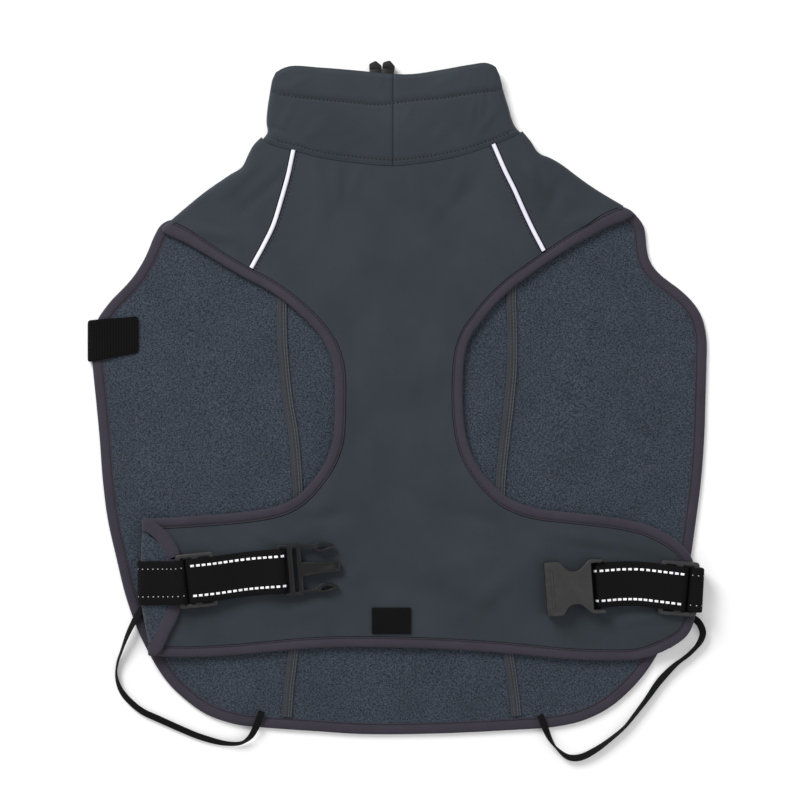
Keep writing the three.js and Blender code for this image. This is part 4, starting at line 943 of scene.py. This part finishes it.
straps = {
    "strap_left": {
        "plan": [
            (-151, -104.9), (-138, -104.7), (-128, -104.4), (-116, -103.2), (-104, -102), (-85, -99.6),
            (-67, -98), (-60, -97.5)],
        "path": [
            (-134, 3.8), (-140, 3.8), *arcPoints(-144.9, 7.25, 3.45, 270, 90), (-138, 10.9), (-133.5, 11.7),
            (-130.2, 12.9), (-127.6, 14), (-125, 14.4), (-123.1, 14.2), (-121.9, 13.3), (-121.5, 11.8),
            (-121, 9.8), (-119.4, 8.6), (-114, 8.3), (-104, 7.9), (-100, 7.4), (-94, 7.1), (-80, 6.8),
            (-72, 6.6), *arcPoints(-67.6, 9.3, 2.7, -90, 90), (-71, 11.8), (-78, 10.4), (-88, 10),
            (-97, 11), (-104, 12.4), (-112, 13.2), (-116.4, 13.5), (-118.7, 13.2), (-119.6, 12.2),
            (-119.7, 11)],
    },
    "strap_right": {
        "plan": [
            (105, -106.7), (114.6, -106), (126, -105.3), (137, -105.3), (150, -106.6), (163, -108.1),
            (174, -108.9)],
        "path": [
            (154, 3.8), (162, 3.8), (169.4, 3.6), (171.1, 4.5), (171.7, 6.5), (172.1, 9), (172.2, 11.8),
            (171.6, 13.3), (170, 14.1), (168.2, 14.1), (166.5, 13.5), (165.7, 11.9), (165.2, 10.1),
            (163.6, 8.8), (158, 8.3), (146, 7.5), (140, 7), (132, 6.8), (120, 6.7),
            *arcPoints(114.6, 9.4, 2.7, -90, -270), (118, 11.9), (126, 10.6), (134, 10.3), (140, 10.9),
            (146, 11.7), (153, 12.2), (159.6, 12.8), (162, 12.7), (163.1, 11.9), (163.4, 10.4)],
    },
}
web = {"width": 25, "thick": 1.4}
webSection = [
    (-0.5, -0.25), (-0.485, -0.42), (-0.45, -0.5), (-0.36, -0.5), (-0.2, -0.5), (0, -0.5), (0.2, -0.5),
    (0.36, -0.5), (0.45, -0.5), (0.485, -0.42), (0.5, -0.25), (0.5, 0.25), (0.485, 0.42), (0.45, 0.5),
    (0.36, 0.5), (0.2, 0.5), (0, 0.5), (-0.2, 0.5), (-0.36, 0.5), (-0.45, 0.5), (-0.485, 0.42),
    (-0.5, 0.25)]


def strapStations(spec):
    plan = smooth(spec["plan"], 2)
    sidePath = smooth(spec["path"], 1.0)
    x = sidePath[:, 0]
    middle = np.stack([x, lineY(plan, x), sidePath[:, 1]], axis=1)
    turn = np.arctan((lineY(plan, x + 3) - lineY(plan, x - 3)) / 6)
    right = np.stack([-np.sin(turn), np.cos(turn), 0 * turn], axis=1)
    return middle, unit(np.cross(headings(middle), right)), right


# White dashes woven into the webbing, a low block each, and the dots that they leave on its back.
dash = {"pitch": 3.2, "length": 2.1, "width": 1.25, "height": 0.16, "material": "webDash"}
dot = {"pitch": 2.9, "length": 0.65, "width": 0.55, "height": 0.1, "material": "webDot"}


def dashes(name, stations, start, stop, shifts, side, spec):
    middle = stations[0]
    points, faces = [], []
    run = runs(middle)
    start, stop = (run[int(np.hypot(middle[:, 0] - x, middle[:, 2] - z).argmin())] for x, z in (start, stop))
    for shift in shifts:
        for s in np.arange(start + spec["length"] / 2, stop, spec["pitch"]):
            c, n, r = (np.array([np.interp(s, run, a[:, k]) for k in range(3)]) for a in stations)
            d = np.cross(r, n)
            base = c + r * shift + n * (side * web["thick"] / 2)
            first = len(points)
            for up, grow in ((-0.1, 1), (spec["height"] * 0.7, 1), (spec["height"], 0.8)):
                for u, w in ((-0.5, -0.5), (0.5, -0.5), (0.5, 0.5), (-0.5, 0.5)):
                    points.append(base + d * (u * spec["length"] * grow) + r * (w * spec["width"] * grow)
                                  + n * (side * up))
            for k in range(4):
                for q in (first, first + 4):
                    faces.append((q + k, q + (k + 1) % 4, q + 4 + (k + 1) % 4, q + 4 + k))
            faces.append((first, first + 3, first + 2, first + 1))
            faces.append((first + 8, first + 9, first + 10, first + 11))
    made = meshObject(name, np.array(points) * mm, faces, [spec["material"]], smoothAngle=35)
    turnOutwards(made)
    ridesAs(made, "webbing")


strapLines = {name: strapStations(spec) for name, spec in straps.items()}
for strapName, strapLine in strapLines.items():
    webbing = sweep(strapName + "_web", *strapLine, web["width"], web["thick"], webSection, "webbingBlack")
    ridesAs(webbing, "webbing", strapName)
leftLine, rightLine = strapLines["strap_left"], strapLines["strap_right"]
dashes("strap_left_dashes", leftLine, (-65.2, 10.2), (-119.4, 12.6), (-8.4, 8.6), -1, dash)
dashes("strap_left_dots", leftLine, (-148, 8.4), (-121.8, 13), (-7.7, 8), 1, dot)
dashes("strap_right_dashes", rightLine, (112.1, 10.4), (163.2, 12.2), (-8.6, 8.4), 1, dash)
dashes("strap_right_dots", rightLine, (172.2, 10), (166.2, 13), (-8.6, 8.4), -1, dot)
print("straps made")

# Keeper tab and the small black patch
keeper = {
    "path": [(-149.2, 2.75), (-151.8, 2.75), (-160, 2.8), (-167.8, 3.5), (-172, 3.65), (-175.6, 3.65),
             (-177.4, 3.1), (-178, 1.9), (-178, 0.6)],
    "middle": 36.8, "slope": 0.136, "width": 21, "taper": 0.107, "thick": 0.9, "corners": (2.2, 1.4),
}
keeperPath = smooth(keeper["path"], 0.5)
keeperX = keeperPath[:, 0]
keeperY = keeper["middle"] + keeper["slope"] * (keeperX + 150)
keeperMiddle = np.stack([keeperX, keeperY, keeperPath[:, 1]], axis=1)
keeperWidth = keeper["width"] - keeper["taper"] * (keeperX + 150)
for away, corner in zip((keeper["path"][0][0] - keeperX, keeperX - keeper["path"][-1][0]), keeper["corners"]):
    inside = np.clip(corner - away, 0, corner)
    keeperWidth -= 2 * (corner - np.sqrt(np.maximum(0, corner ** 2 - inside ** 2)))
keeperRight = np.tile([0, 1.0, 0], (len(keeperMiddle), 1))
keeperNormals = unit(np.cross(keeperRight, headings(keeperMiddle)))
keeperTab = sweep("keeper_tab_elastic", keeperMiddle, keeperNormals, keeperRight, keeperWidth,
                  keeper["thick"], webSection, "keeperRib")
ridesAs(keeperTab, "black_tape", "keeper_tab")
square = {"from": -15.4, "to": 6.8, "middle": -126.6, "width": 15, "thick": 1.1, "height": 1.75}
patchLine = np.stack([np.linspace(square["from"], square["to"], 16), np.full(16, square["middle"])], axis=1)
patchStations = flatStations(patchLine, frontDressed, square["height"])
patchTape = sweep("black_patch_tape", *patchStations, square["width"], square["thick"], webSection,
                  "patchTape")
ridesAs(patchTape, "black_tape", "black_patch")

# A short sewn line on the fleece near the right edge
sewnTop = flatStations(smooth([(152.6, 45.8), (158, 45.2), (163, 45), (168.6, 43.4)]), level(2.05))
ridesAs(stitches("fleece_stitches", [sewnTop[:2]], 1.9, 1.5, 0.2, "shellThread"), "fleece")
print("keeper and patch made")

# Moulded pieces: a plate from an outline, shaped in edit mode, cut with modifiers and rounded.
def plate(name, outline, thick):
    bpy.ops.object.select_all(action="DESELECT")
    bpy.ops.mesh.primitive_circle_add(vertices=len(outline), radius=0.01, fill_type="NGON",
                                      location=(0, 0, 0))
    piece = bpy.context.active_object
    piece.name = piece.data.name = name
    for vertex, (u, w) in zip(piece.data.vertices, outline):
        vertex.co = (u * mm, w * mm, -thick / 2 * mm)
    bpy.ops.object.mode_set(mode="EDIT")
    bpy.ops.mesh.select_all(action="SELECT")
    bpy.ops.mesh.extrude_region_move(TRANSFORM_OT_translate={"value": (0, 0, thick * mm)})
    bpy.ops.mesh.select_all(action="SELECT")
    bpy.ops.mesh.normals_make_consistent(inside=False)
    bpy.ops.object.mode_set(mode="OBJECT")
    return piece


def applyModifier(piece, kind, **settings):
    select(piece)
    modifier = piece.modifiers.new("shape", kind)
    for key, value in settings.items():
        setattr(modifier, key, value)
    bpy.ops.object.modifier_apply(modifier=modifier.name)


def combine(piece, other, operation):
    applyModifier(piece, "BOOLEAN", object=other, operation=operation, solver="EXACT")
    bpy.data.objects.remove(other)


def roundEdges(piece, width, segments=3):
    applyModifier(piece, "BEVEL", width=width * mm, segments=segments, limit_method="ANGLE",
                  angle_limit=math.radians(35), miter_outer="MITER_ARC", use_clamp_overlap=True)


def settle(piece, place, turn, material):
    select(piece)
    piece.location = [v * mm for v in place]
    piece.rotation_euler = turn
    bpy.ops.object.transform_apply(location=True, rotation=True, scale=True)
    piece.data.materials.clear()
    piece.data.materials.append(materialNamed(material))
    bpy.ops.object.shade_smooth_by_angle(angle=math.radians(32))


def twoSided(half):
    return half + [(u, -w) for u, w in half[::-1]]


def rounded(outline, cornerList, radius, steps=4):
    points = []
    count = len(outline)
    for i in range(count):
        p = np.array(outline[i], float)
        if i not in cornerList:
            points.append(tuple(p))
            continue
        a, b = np.array(outline[i - 1], float), np.array(outline[(i + 1) % count], float)
        da, db = (a - p) / np.linalg.norm(a - p), (b - p) / np.linalg.norm(b - p)
        for k in range(steps + 1):
            t = k / steps
            points.append(tuple(p + da * radius * (1 - t) ** 2 + db * radius * t ** 2))
    return points


sliderSpec = {
    "width": 22, "height": 31, "thick": 2.2, "slot": (6, 26.2), "slotAt": 5, "corner": 2.4, "slotCorner": 0.8,
    "round": 0.7,
}
sliderPlaces = {
    "slider_left": {"place": (-115, -103.1, 11), "turn": (0, 0.085, math.radians(5.5))},
    "slider_right": {"place": (159, -107.7, 10.58), "turn": (0, -math.atan(1.25 / 17), math.radians(-4))},
}


def box(w, h, x=0, y=0):
    return [(x - w / 2, y - h / 2), (x + w / 2, y - h / 2), (x + w / 2, y + h / 2), (x - w / 2, y + h / 2)]


def makeSlider(name):
    spec = sliderSpec
    frameShape = rounded(box(spec["width"], spec["height"]), range(4), spec["corner"])
    piece = plate(name + "_moulding", frameShape, spec["thick"])
    for side in (-1, 1):
        slot = rounded(box(*spec["slot"], x=side * spec["slotAt"]), range(4), spec["slotCorner"])
        combine(piece, plate("slot", slot, spec["thick"] + 2), "DIFFERENCE")
    roundEdges(piece, spec["round"])
    settle(piece, **sliderPlaces[name], material="mouldedSatin")
    ridesAs(piece, "plastic", name)


maleSpec = {"place": (-68.45, -98.1, 9.3), "turn": (0, 0, math.radians(5)), "thick": 3, "round": 0.45}
maleHalf = [
    (0, 14.6), (12.6, 14.6), (13.4, 13.8), (17, 13.55), (20.6, 13.5), (22, 13.9), (23.4, 14.35),
    (25.2, 14.45), (27, 14.2), (29.6, 13.5), (31.6, 12.8), (32.7, 12.2), (33.1, 11.6), (32.4, 10.9),
    (30.6, 9.95), (28.4, 9.25), (26.2, 8.85), (24.2, 8.9), (22.6, 9.5), (21.4, 10.6), (20.2, 11.45),
    (17, 11.75), (13.4, 11.8), (13.4, 4.2), (18, 3.95), (34, 2.95), (34.9, 2.75), (35.2, 2.2)]
maleLoop = [
    (23.2, 11.6), (23.6, 10.8), (25, 10.4), (27, 10.5), (29, 11.1), (30.5, 11.75), (29, 12.3), (27, 12.8),
    (25, 13), (23.7, 12.7)]


def makeMale():
    spec = maleSpec
    piece = plate("buckle_male_moulding", twoSided(maleHalf), spec["thick"])
    for slot in (box(3.9, 26.4, x=3.65), box(2.3, 25.2, x=9.75)):
        combine(piece, plate("slot", rounded(slot, range(4), 0.5), spec["thick"] + 2), "DIFFERENCE")
    for side in (1, -1):
        loop = [(u, w * side) for u, w in maleLoop]
        combine(piece, plate("loop", loop, spec["thick"] + 2), "DIFFERENCE")
    # Recess at the prong's tip
    recess = plate("recess", rounded(box(2.1, 3.4, x=32.6), range(4), 0.4), 1.2)
    recess.location = (0, 0, spec["thick"] / 2 * mm)
    combine(piece, recess, "DIFFERENCE")
    roundEdges(piece, spec["round"])
    # Raised ribs along the prong
    for side in (1, -1):
        rib = plate("rib", [(14.4, side * 2.9), (14.4, side * 3.6), (31, side * 2.5), (31, side * 1.9)], 0.5)
        roundEdges(rib, 0.15, 2)
        rib.location = (0, 0, (spec["thick"] / 2 + 0.05) * mm)
        combine(piece, rib, "UNION")
    settle(piece, spec["place"], spec["turn"], "mouldedBlack")
    ridesAs(piece, "plastic", "buckle_male")


femaleSpec = {"place": (83.2, -108.2, 10.6), "turn": (0, 0, math.radians(4)), "thick": 8.6, "round": 1.3}
femaleHalf = [
    (0, 15.2), (4, 15.4), (8.2, 15.4), (9.2, 15), (10.4, 13.4), (11.6, 11.6), (12.8, 10.4), (14.2, 9.7),
    (16.4, 9.35), (18.4, 9.5), (20, 10.2), (21.6, 11.5), (23.2, 13.2), (24.8, 14.7), (26.4, 15.4),
    (28, 15.5), (32.6, 15.5), (33.3, 15.1), (33.4, 14.2), (32.8, 13.5), (26.8, 13.3), (26.5, 12.6)]


def makeFemale():
    spec = femaleSpec
    piece = plate("buckle_female_moulding", twoSided(femaleHalf), spec["thick"])
    socket = plate("socket", box(22, 27, x=9.5), 5)
    roundEdges(piece, spec["round"], 4)
    combine(piece, socket, "DIFFERENCE")
    # Shallow pressed grip lines across the mouth
    for x in (3.2, 4.6):
        grip = plate("grip", rounded(box(0.5, 22, x=x), range(4), 0.2), 0.5)
        grip.location = (0, 0, (spec["thick"] / 2 + 0.05) * mm)
        combine(piece, grip, "DIFFERENCE")
    # Round bar that holds the strap
    bpy.ops.object.select_all(action="DESELECT")
    bpy.ops.mesh.primitive_cylinder_add(vertices=20, radius=1.3 * mm, depth=28.6 * mm,
                                        location=(31.4 * mm, 0, -1.2 * mm), rotation=(math.pi / 2, 0, 0))
    combine(piece, bpy.context.active_object, "UNION")
    settle(piece, spec["place"], spec["turn"], "mouldedSatin")
    ridesAs(piece, "plastic", "buckle_female")


beadShape = [(-3.5, -6), (3.1, -6), (3.9, 1.2), (0.6, 4.4), (-3.3, 2.8)]
beads = {
    "cord_end_left": {"place": (-13.6, 189, 3.5), "turn": (0, 0, 0.06)},
    "cord_end_right": {"place": (-6.2, 189.3, 3.5), "turn": (0, 0, -0.1)},
}


def makeBead(name):
    piece = plate(name + "_bead", rounded(beadShape, range(5), 0.9, 3), 2.8)
    groove = plate("groove", box(12, 0.7, y=-0.4), 0.6)
    groove.location = (0, 0, 1.4 * mm)
    combine(piece, groove, "DIFFERENCE")
    roundEdges(piece, 0.5)
    settle(piece, **beads[name], material="mouldedBlack")
    ridesAs(piece, "black_tape", name)


for sliderName in sliderPlaces:
    makeSlider(sliderName)
makeMale()
makeFemale()
for beadName in beads:
    makeBead(beadName)
print("buckle, sliders and cord ends made")

# Materials
def nodeGroup(name, inputs, outputs):
    group = bpy.data.node_groups.new(name, "ShaderNodeTree")
    for label, kind, value in inputs:
        socket = group.interface.new_socket(label, in_out="INPUT", socket_type="NodeSocket" + kind)
        if value is not None:
            socket.default_value = value
    for label, kind in outputs:
        group.interface.new_socket(label, in_out="OUTPUT", socket_type="NodeSocket" + kind)
    return group, group.nodes.new("NodeGroupInput"), group.nodes.new("NodeGroupOutput")


def addNode(tree, kind, values=(), **settings):
    node = tree.nodes.new("ShaderNode" + kind)
    for key, value in settings.items():
        setattr(node, key, value)
    for key, value in values:
        node.inputs[key].default_value = value
    return node


# Links, each from a node's output to another node's input.
def wire(tree, *links):
    for source, output, target, socket in links:
        tree.links.new(source.outputs[output], target.inputs[socket])


vectorInput = ("Vector", "Vector", None)


# Slow light and dark areas, as on cloth that was pressed and handled.
def toneGroup():
    group, inside, outside = nodeGroup(
        "clothTone",
        [vectorInput, ("Scale", "Float", 20), ("Amount", "Float", 0.1),
         ("Color", "Color", (0.5, 0.5, 0.5, 1))],
        [("Color", "Color")])
    noise = addNode(group, "TexNoise", [("Detail", 4), ("Roughness", 0.55)])
    spread = addNode(group, "MapRange", [("From Min", 0.3), ("From Max", 0.7), ("To Min", -1), ("To Max", 1)])
    scaled = addNode(group, "Math", [(2, 1)], operation="MULTIPLY_ADD")
    tint = addNode(group, "VectorMath", operation="SCALE")
    wire(group, (inside, "Vector", noise, "Vector"), (inside, "Scale", noise, "Scale"),
         (noise, "Fac", spread, "Value"), (spread, "Result", scaled, 0), (inside, "Amount", scaled, 1),
         (inside, "Color", tint, 0), (scaled, "Value", tint, "Scale"), (tint, "Vector", outside, "Color"))
    return group


# Two crossed sets of fine yarns.
def weaveGroup():
    group, inside, outside = nodeGroup(
        "yarnWeave", [vectorInput, ("Scale", "Float", 2000), ("Turn", "Float", 0.0)], [("Height", "Float")])
    turn = addNode(group, "VectorRotate", rotation_type="Z_AXIS")
    both = addNode(group, "Math", operation="ADD")
    for number, axis in enumerate(("X", "Y")):
        wave = addNode(group, "TexWave", [("Distortion", 0.6), ("Detail", 1), ("Detail Scale", 0.4)],
                       wave_type="BANDS", bands_direction=axis, wave_profile="SIN")
        wire(group, (turn, "Vector", wave, "Vector"), (inside, "Scale", wave, "Scale"),
             (wave, "Fac", both, number))
    wire(group, (inside, "Vector", turn, "Vector"), (inside, "Turn", turn, "Angle"),
         (both, "Value", outside, "Height"))
    return group


# Slanted ribs on a trim's own UV map.
def ribGroup():
    group, inside, outside = nodeGroup(
        "trimRibs", [vectorInput, ("Scale", "Float", 400), ("Turn", "Float", 0.0)], [("Height", "Float")])
    turn = addNode(group, "VectorRotate", rotation_type="Z_AXIS")
    wave = addNode(group, "TexWave", [("Distortion", 0.9), ("Detail", 2), ("Detail Scale", 0.7)],
                   wave_type="BANDS", bands_direction="X", wave_profile="SIN")
    wire(group, (inside, "Vector", turn, "Vector"), (inside, "Turn", turn, "Angle"),
         (turn, "Vector", wave, "Vector"), (inside, "Scale", wave, "Scale"), (wave, "Fac", outside, "Height"))
    return group


# Curled fleece nap: soft lumps, and a mask of their hollows where shade is painted.
def napGroup():
    group, inside, outside = nodeGroup(
        "fleeceNap", [vectorInput, ("Scale", "Float", 600)], [("Height", "Float"), ("PaintedShade", "Float")])
    warp = addNode(group, "TexNoise", [("Detail", 2)])
    warpScale = addNode(group, "Math", [(1, 0.5)], operation="MULTIPLY")
    shift = addNode(group, "VectorMath", [(1, (0.0012, 0.0012, 0.0012))], operation="MULTIPLY_ADD")
    lumps = addNode(group, "TexNoise", [("Detail", 3), ("Roughness", 0.6), ("Distortion", 0.5)])
    hollowShade = addNode(group, "MapRange", [("From Min", 0.4), ("From Max", 0.6), ("To Min", 1), ("To Max", 0)])
    wire(group, (inside, "Vector", warp, "Vector"), (inside, "Scale", warpScale, 0),
         (warpScale, "Value", warp, "Scale"), (warp, "Color", shift, 0), (inside, "Vector", shift, 2),
         (shift, "Vector", lumps, "Vector"), (inside, "Scale", lumps, "Scale"),
         (lumps, "Fac", outside, "Height"), (lumps, "Fac", hollowShade, "Value"),
         (hollowShade, "Result", outside, "PaintedShade"))
    return group


# Painted highlight on moulded edges, found by their pointiness and broken up by noise.
def edgeHighlightGroup():
    group, inside, outside = nodeGroup(
        "edgeHighlight", [vectorInput, ("Scale", "Float", 200), ("Amount", "Float", 0.5)], [("Mask", "Float")])
    geometry = addNode(group, "NewGeometry")
    edges = addNode(group, "MapRange", [("From Min", 0.505), ("From Max", 0.56)])
    noise = addNode(group, "TexNoise", [("Detail", 3)])
    broken = addNode(group, "MapRange", [("From Min", 0.4), ("From Max", 0.65)])
    both = addNode(group, "Math", operation="MULTIPLY")
    scaled = addNode(group, "Math", operation="MULTIPLY")
    wire(group, (geometry, "Pointiness", edges, "Value"), (inside, "Vector", noise, "Vector"),
         (inside, "Scale", noise, "Scale"), (noise, "Fac", broken, "Value"), (edges, "Result", both, 0),
         (broken, "Result", both, 1), (both, "Value", scaled, 0), (inside, "Amount", scaled, 1),
         (scaled, "Value", outside, "Mask"))
    return group


groups = {
    "tone": toneGroup(), "weave": weaveGroup(), "ribs": ribGroup(), "nap": napGroup(), "highlight": edgeHighlightGroup()}


def groupNode(tree, name, values=()):
    node = tree.nodes.new("ShaderNodeGroup")
    node.node_tree = groups[name]
    for key, value in values:
        node.inputs[key].default_value = value
    return node


def startMaterial(name, roughness, sheen=0.0, sheenRoughness=0.5, specular=0.3):
    material = materialNamed(name)
    material.use_nodes = True
    tree = material.node_tree
    shader = tree.nodes["Principled BSDF"]
    shader.inputs["Roughness"].default_value = roughness
    shader.inputs["Sheen Weight"].default_value = sheen
    shader.inputs["Sheen Roughness"].default_value = sheenRoughness
    shader.inputs["Specular IOR Level"].default_value = specular
    return tree, shader, addNode(tree, "TexCoord")


def bumpInto(tree, shader, source, output, strength, distance):
    bump = addNode(tree, "Bump", [("Strength", strength), ("Distance", distance)])
    wire(tree, (source, output, bump, "Height"), (bump, "Normal", shader, "Normal"))


# Base colour between two: the tone's colour and a plain one, by a mask.
def blendInto(tree, shader, mask, output, tone, plain):
    blend = addNode(tree, "Mix", [(7, plain)], data_type="RGBA")
    wire(tree, (mask, output, blend, 0), (tone, "Color", blend, 6), (blend, 2, shader, "Base Color"))


softshellLook = {
    "color": (0.0228, 0.0296, 0.0372, 1), "roughness": 0.78, "toneScale": 30, "tone": 0.13,
    "weaveScale": 1300, "bump": 0.16,
}


def softshellMaterial():
    look = softshellLook
    tree, shader, coords = startMaterial("coatShell", look["roughness"], 0.05, 0.5, 0.22)
    values = [("Scale", look["toneScale"]), ("Amount", look["tone"]), ("Color", look["color"])]
    tone = groupNode(tree, "tone", values)
    weave = groupNode(tree, "weave", [("Scale", look["weaveScale"]), ("Turn", 0.2)])
    wire(tree, (coords, "Object", tone, "Vector"), (coords, "Object", weave, "Vector"),
         (tone, "Color", shader, "Base Color"))
    bumpInto(tree, shader, weave, "Height", look["bump"], 0.0001)


# Fleece colours: the nap's own colour, and a darker one painted in its hollows as shade.
fleeceLook = {
    "color": (0.046, 0.059, 0.08, 1), "hollowShade": (0.0075, 0.011, 0.0175, 1), "shadeShare": 0.9, "scale": 1150,
    "bump": 0.8, "tone": 0.12, "sheen": 0.1,
}


def fleeceMaterial():
    look = fleeceLook
    tree, shader, coords = startMaterial("coatFleece", 0.95, look["sheen"], 0.6, 0.15)
    nap = groupNode(tree, "nap", [("Scale", look["scale"])])
    tone = groupNode(tree, "tone", [("Scale", 34), ("Amount", look["tone"]), ("Color", look["color"])])
    share = addNode(tree, "Math", [(1, look["shadeShare"])], operation="MULTIPLY")
    wire(tree, (coords, "Object", nap, "Vector"), (coords, "Object", tone, "Vector"),
         (nap, "PaintedShade", share, 0))
    # The base colour darkens in the nap's hollows: painted shade.
    blendInto(tree, shader, share, "Value", tone, look["hollowShade"])
    bumpInto(tree, shader, nap, "Height", look["bump"], 0.0008)


# Woven trims: ribs along their UV map, turned by an angle.
def ribbedMaterial(name, color, roughness, scale, turn, bump, distance, sheen=0.0, tone=0.1, specular=0.3):
    tree, shader, coords = startMaterial(name, roughness, sheen, 0.5, specular)
    ribs = groupNode(tree, "ribs", [("Scale", scale), ("Turn", turn)])
    shade = groupNode(tree, "tone", [("Scale", 60), ("Amount", tone), ("Color", color)])
    wire(tree, (coords, "UV", ribs, "Vector"), (coords, "Object", shade, "Vector"),
         (shade, "Color", shader, "Base Color"))
    bumpInto(tree, shader, ribs, "Height", bump, distance)


def threadMaterial(name, color, roughness=0.7):
    tree, shader, coords = startMaterial(name, roughness, 0.2, 0.4, 0.35)
    shade = groupNode(tree, "tone", [("Scale", 300), ("Amount", 0.2), ("Color", color)])
    weave = groupNode(tree, "weave", [("Scale", 2600), ("Turn", 0.8)])
    wire(tree, (coords, "Object", shade, "Vector"), (coords, "Object", weave, "Vector"),
         (shade, "Color", shader, "Base Color"))
    bumpInto(tree, shader, weave, "Height", 0.3, 0.0001)


# Moulded plastic: fine spark grain, and edges made paler by a painted highlight.
def plasticMaterial(name, color, roughness, specular):
    tree, shader, coords = startMaterial(name, roughness, specular=specular)
    shade = groupNode(tree, "tone", [("Scale", 90), ("Amount", 0.1), ("Color", color)])
    highlightMask = groupNode(tree, "highlight", [("Scale", 260), ("Amount", 0.5)])
    fine = addNode(tree, "TexNoise", [("Scale", 2600), ("Detail", 2)])
    rough = addNode(tree, "MapRange", [("To Min", roughness - 0.06), ("To Max", roughness + 0.08)])
    wire(tree, (coords, "Object", shade, "Vector"), (coords, "Object", highlightMask, "Vector"),
         (coords, "Object", fine, "Vector"), (fine, "Fac", rough, "Value"),
         (rough, "Result", shader, "Roughness"))
    # Paler edge colour: painted highlight.
    highlightColor = tuple(c * 2 + 0.014 for c in color[:3]) + (1,)
    blendInto(tree, shader, highlightMask, "Mask", shade, highlightColor)
    bumpInto(tree, shader, fine, "Fac", 0.3, 0.00005)


plasticMaterial("mouldedBlack", (0.0032, 0.003, 0.003, 1), 0.34, 0.3)
plasticMaterial("mouldedSatin", (0.0185, 0.0172, 0.0185, 1), 0.45, 0.35)
softshellMaterial()
fleeceMaterial()
ribbedMaterial("bindingTwill", (0.0285, 0.0245, 0.0375, 1), 0.85, 330, 0.9, 0.35, 0.00015, 0.08, 0.12)
ribbedMaterial("seamTape", (0.03, 0.034, 0.04, 1), 0.9, 330, 0.0, 0.3, 0.00015, 0.08)
ribbedMaterial("webbingBlack", (0.0032, 0.003, 0.0032, 1), 0.85, 260, 0.7, 0.7, 0.0003, specular=0.12)
ribbedMaterial("keeperRib", (0.0025, 0.0025, 0.0028, 1), 0.9, 200, 0.0, 0.8, 0.0004, specular=0.12)
ribbedMaterial("elasticRibbon", (0.003, 0.003, 0.0032, 1), 0.8, 420, 0.0, 0.5, 0.0002, specular=0.15)
ribbedMaterial("patchTape", (0.0025, 0.0024, 0.0027, 1), 0.85, 260, 0.7, 0.5, 0.0002, specular=0.12)
ribbedMaterial("pipingWhite", (0.7, 0.68, 0.8, 1), 0.42, 500, 0.8, 0.25, 0.0001, tone=0.05, specular=0.5)
ribbedMaterial("seamShadow", (0.006, 0.006, 0.009, 1), 0.9, 500, 0.8, 0.2, 0.0001, specular=0.1)
threadMaterial("bindingThread", (0.009, 0.0085, 0.013, 1))
threadMaterial("shellThread", (0.005, 0.0055, 0.008, 1))
threadMaterial("tapeThread", (0.044, 0.038, 0.036, 1))
# Pale thread, lighter also as painted highlight on the tape's ridges.
threadMaterial("paleThreadRidgeHighlight", (0.075, 0.082, 0.09, 1))
threadMaterial("webDash", (0.88, 0.88, 0.9, 1), 0.6)
threadMaterial("webDot", (0.4, 0.4, 0.4, 1), 0.6)
print("materials made")

# Floor and light
floorSize = 6
bpy.ops.mesh.primitive_plane_add(size=floorSize, location=(0, 0, -0.0004))
floor = bpy.context.active_object
floor.name = "floor"
floorMaterial = bpy.data.materials.new("floorPaper")
floorMaterial.use_nodes = True
floorShader = floorMaterial.node_tree.nodes["Principled BSDF"]
floorShader.inputs["Base Color"].default_value = (0.92, 0.92, 0.92, 1)
floorShader.inputs["Roughness"].default_value = 0.9
floor.data.materials.append(floorMaterial)

world = bpy.data.worlds.new("studio")
world.use_nodes = True
world.node_tree.nodes["Background"].inputs["Color"].default_value = (1, 1, 1, 1)
world.node_tree.nodes["Background"].inputs["Strength"].default_value = 0.6
bpy.context.scene.world = world
bpy.context.scene.view_settings.view_transform = "Standard"  # a white ground stays white
lights = [
    {"name": "topSoft", "place": (-0.7, 1.0, 1.0), "aim": (0, 0, 0), "size": 0.7, "power": 22},
    {"name": "fillSoft", "place": (0.8, -0.4, 1.4), "aim": (0, 0, 0), "size": 1.2, "power": 5},
]
for light in lights:
    data = bpy.data.lights.new(light["name"], "AREA")
    data.size = light["size"]
    data.energy = light["power"]
    lamp = bpy.data.objects.new(light["name"], data)
    lamp.location = light["place"]
    lamp.rotation_euler = (Vector(light["aim"]) - Vector(light["place"])).to_track_quat("-Z", "Y").to_euler()
    bpy.context.scene.collection.objects.link(lamp)
print("floor and light made")
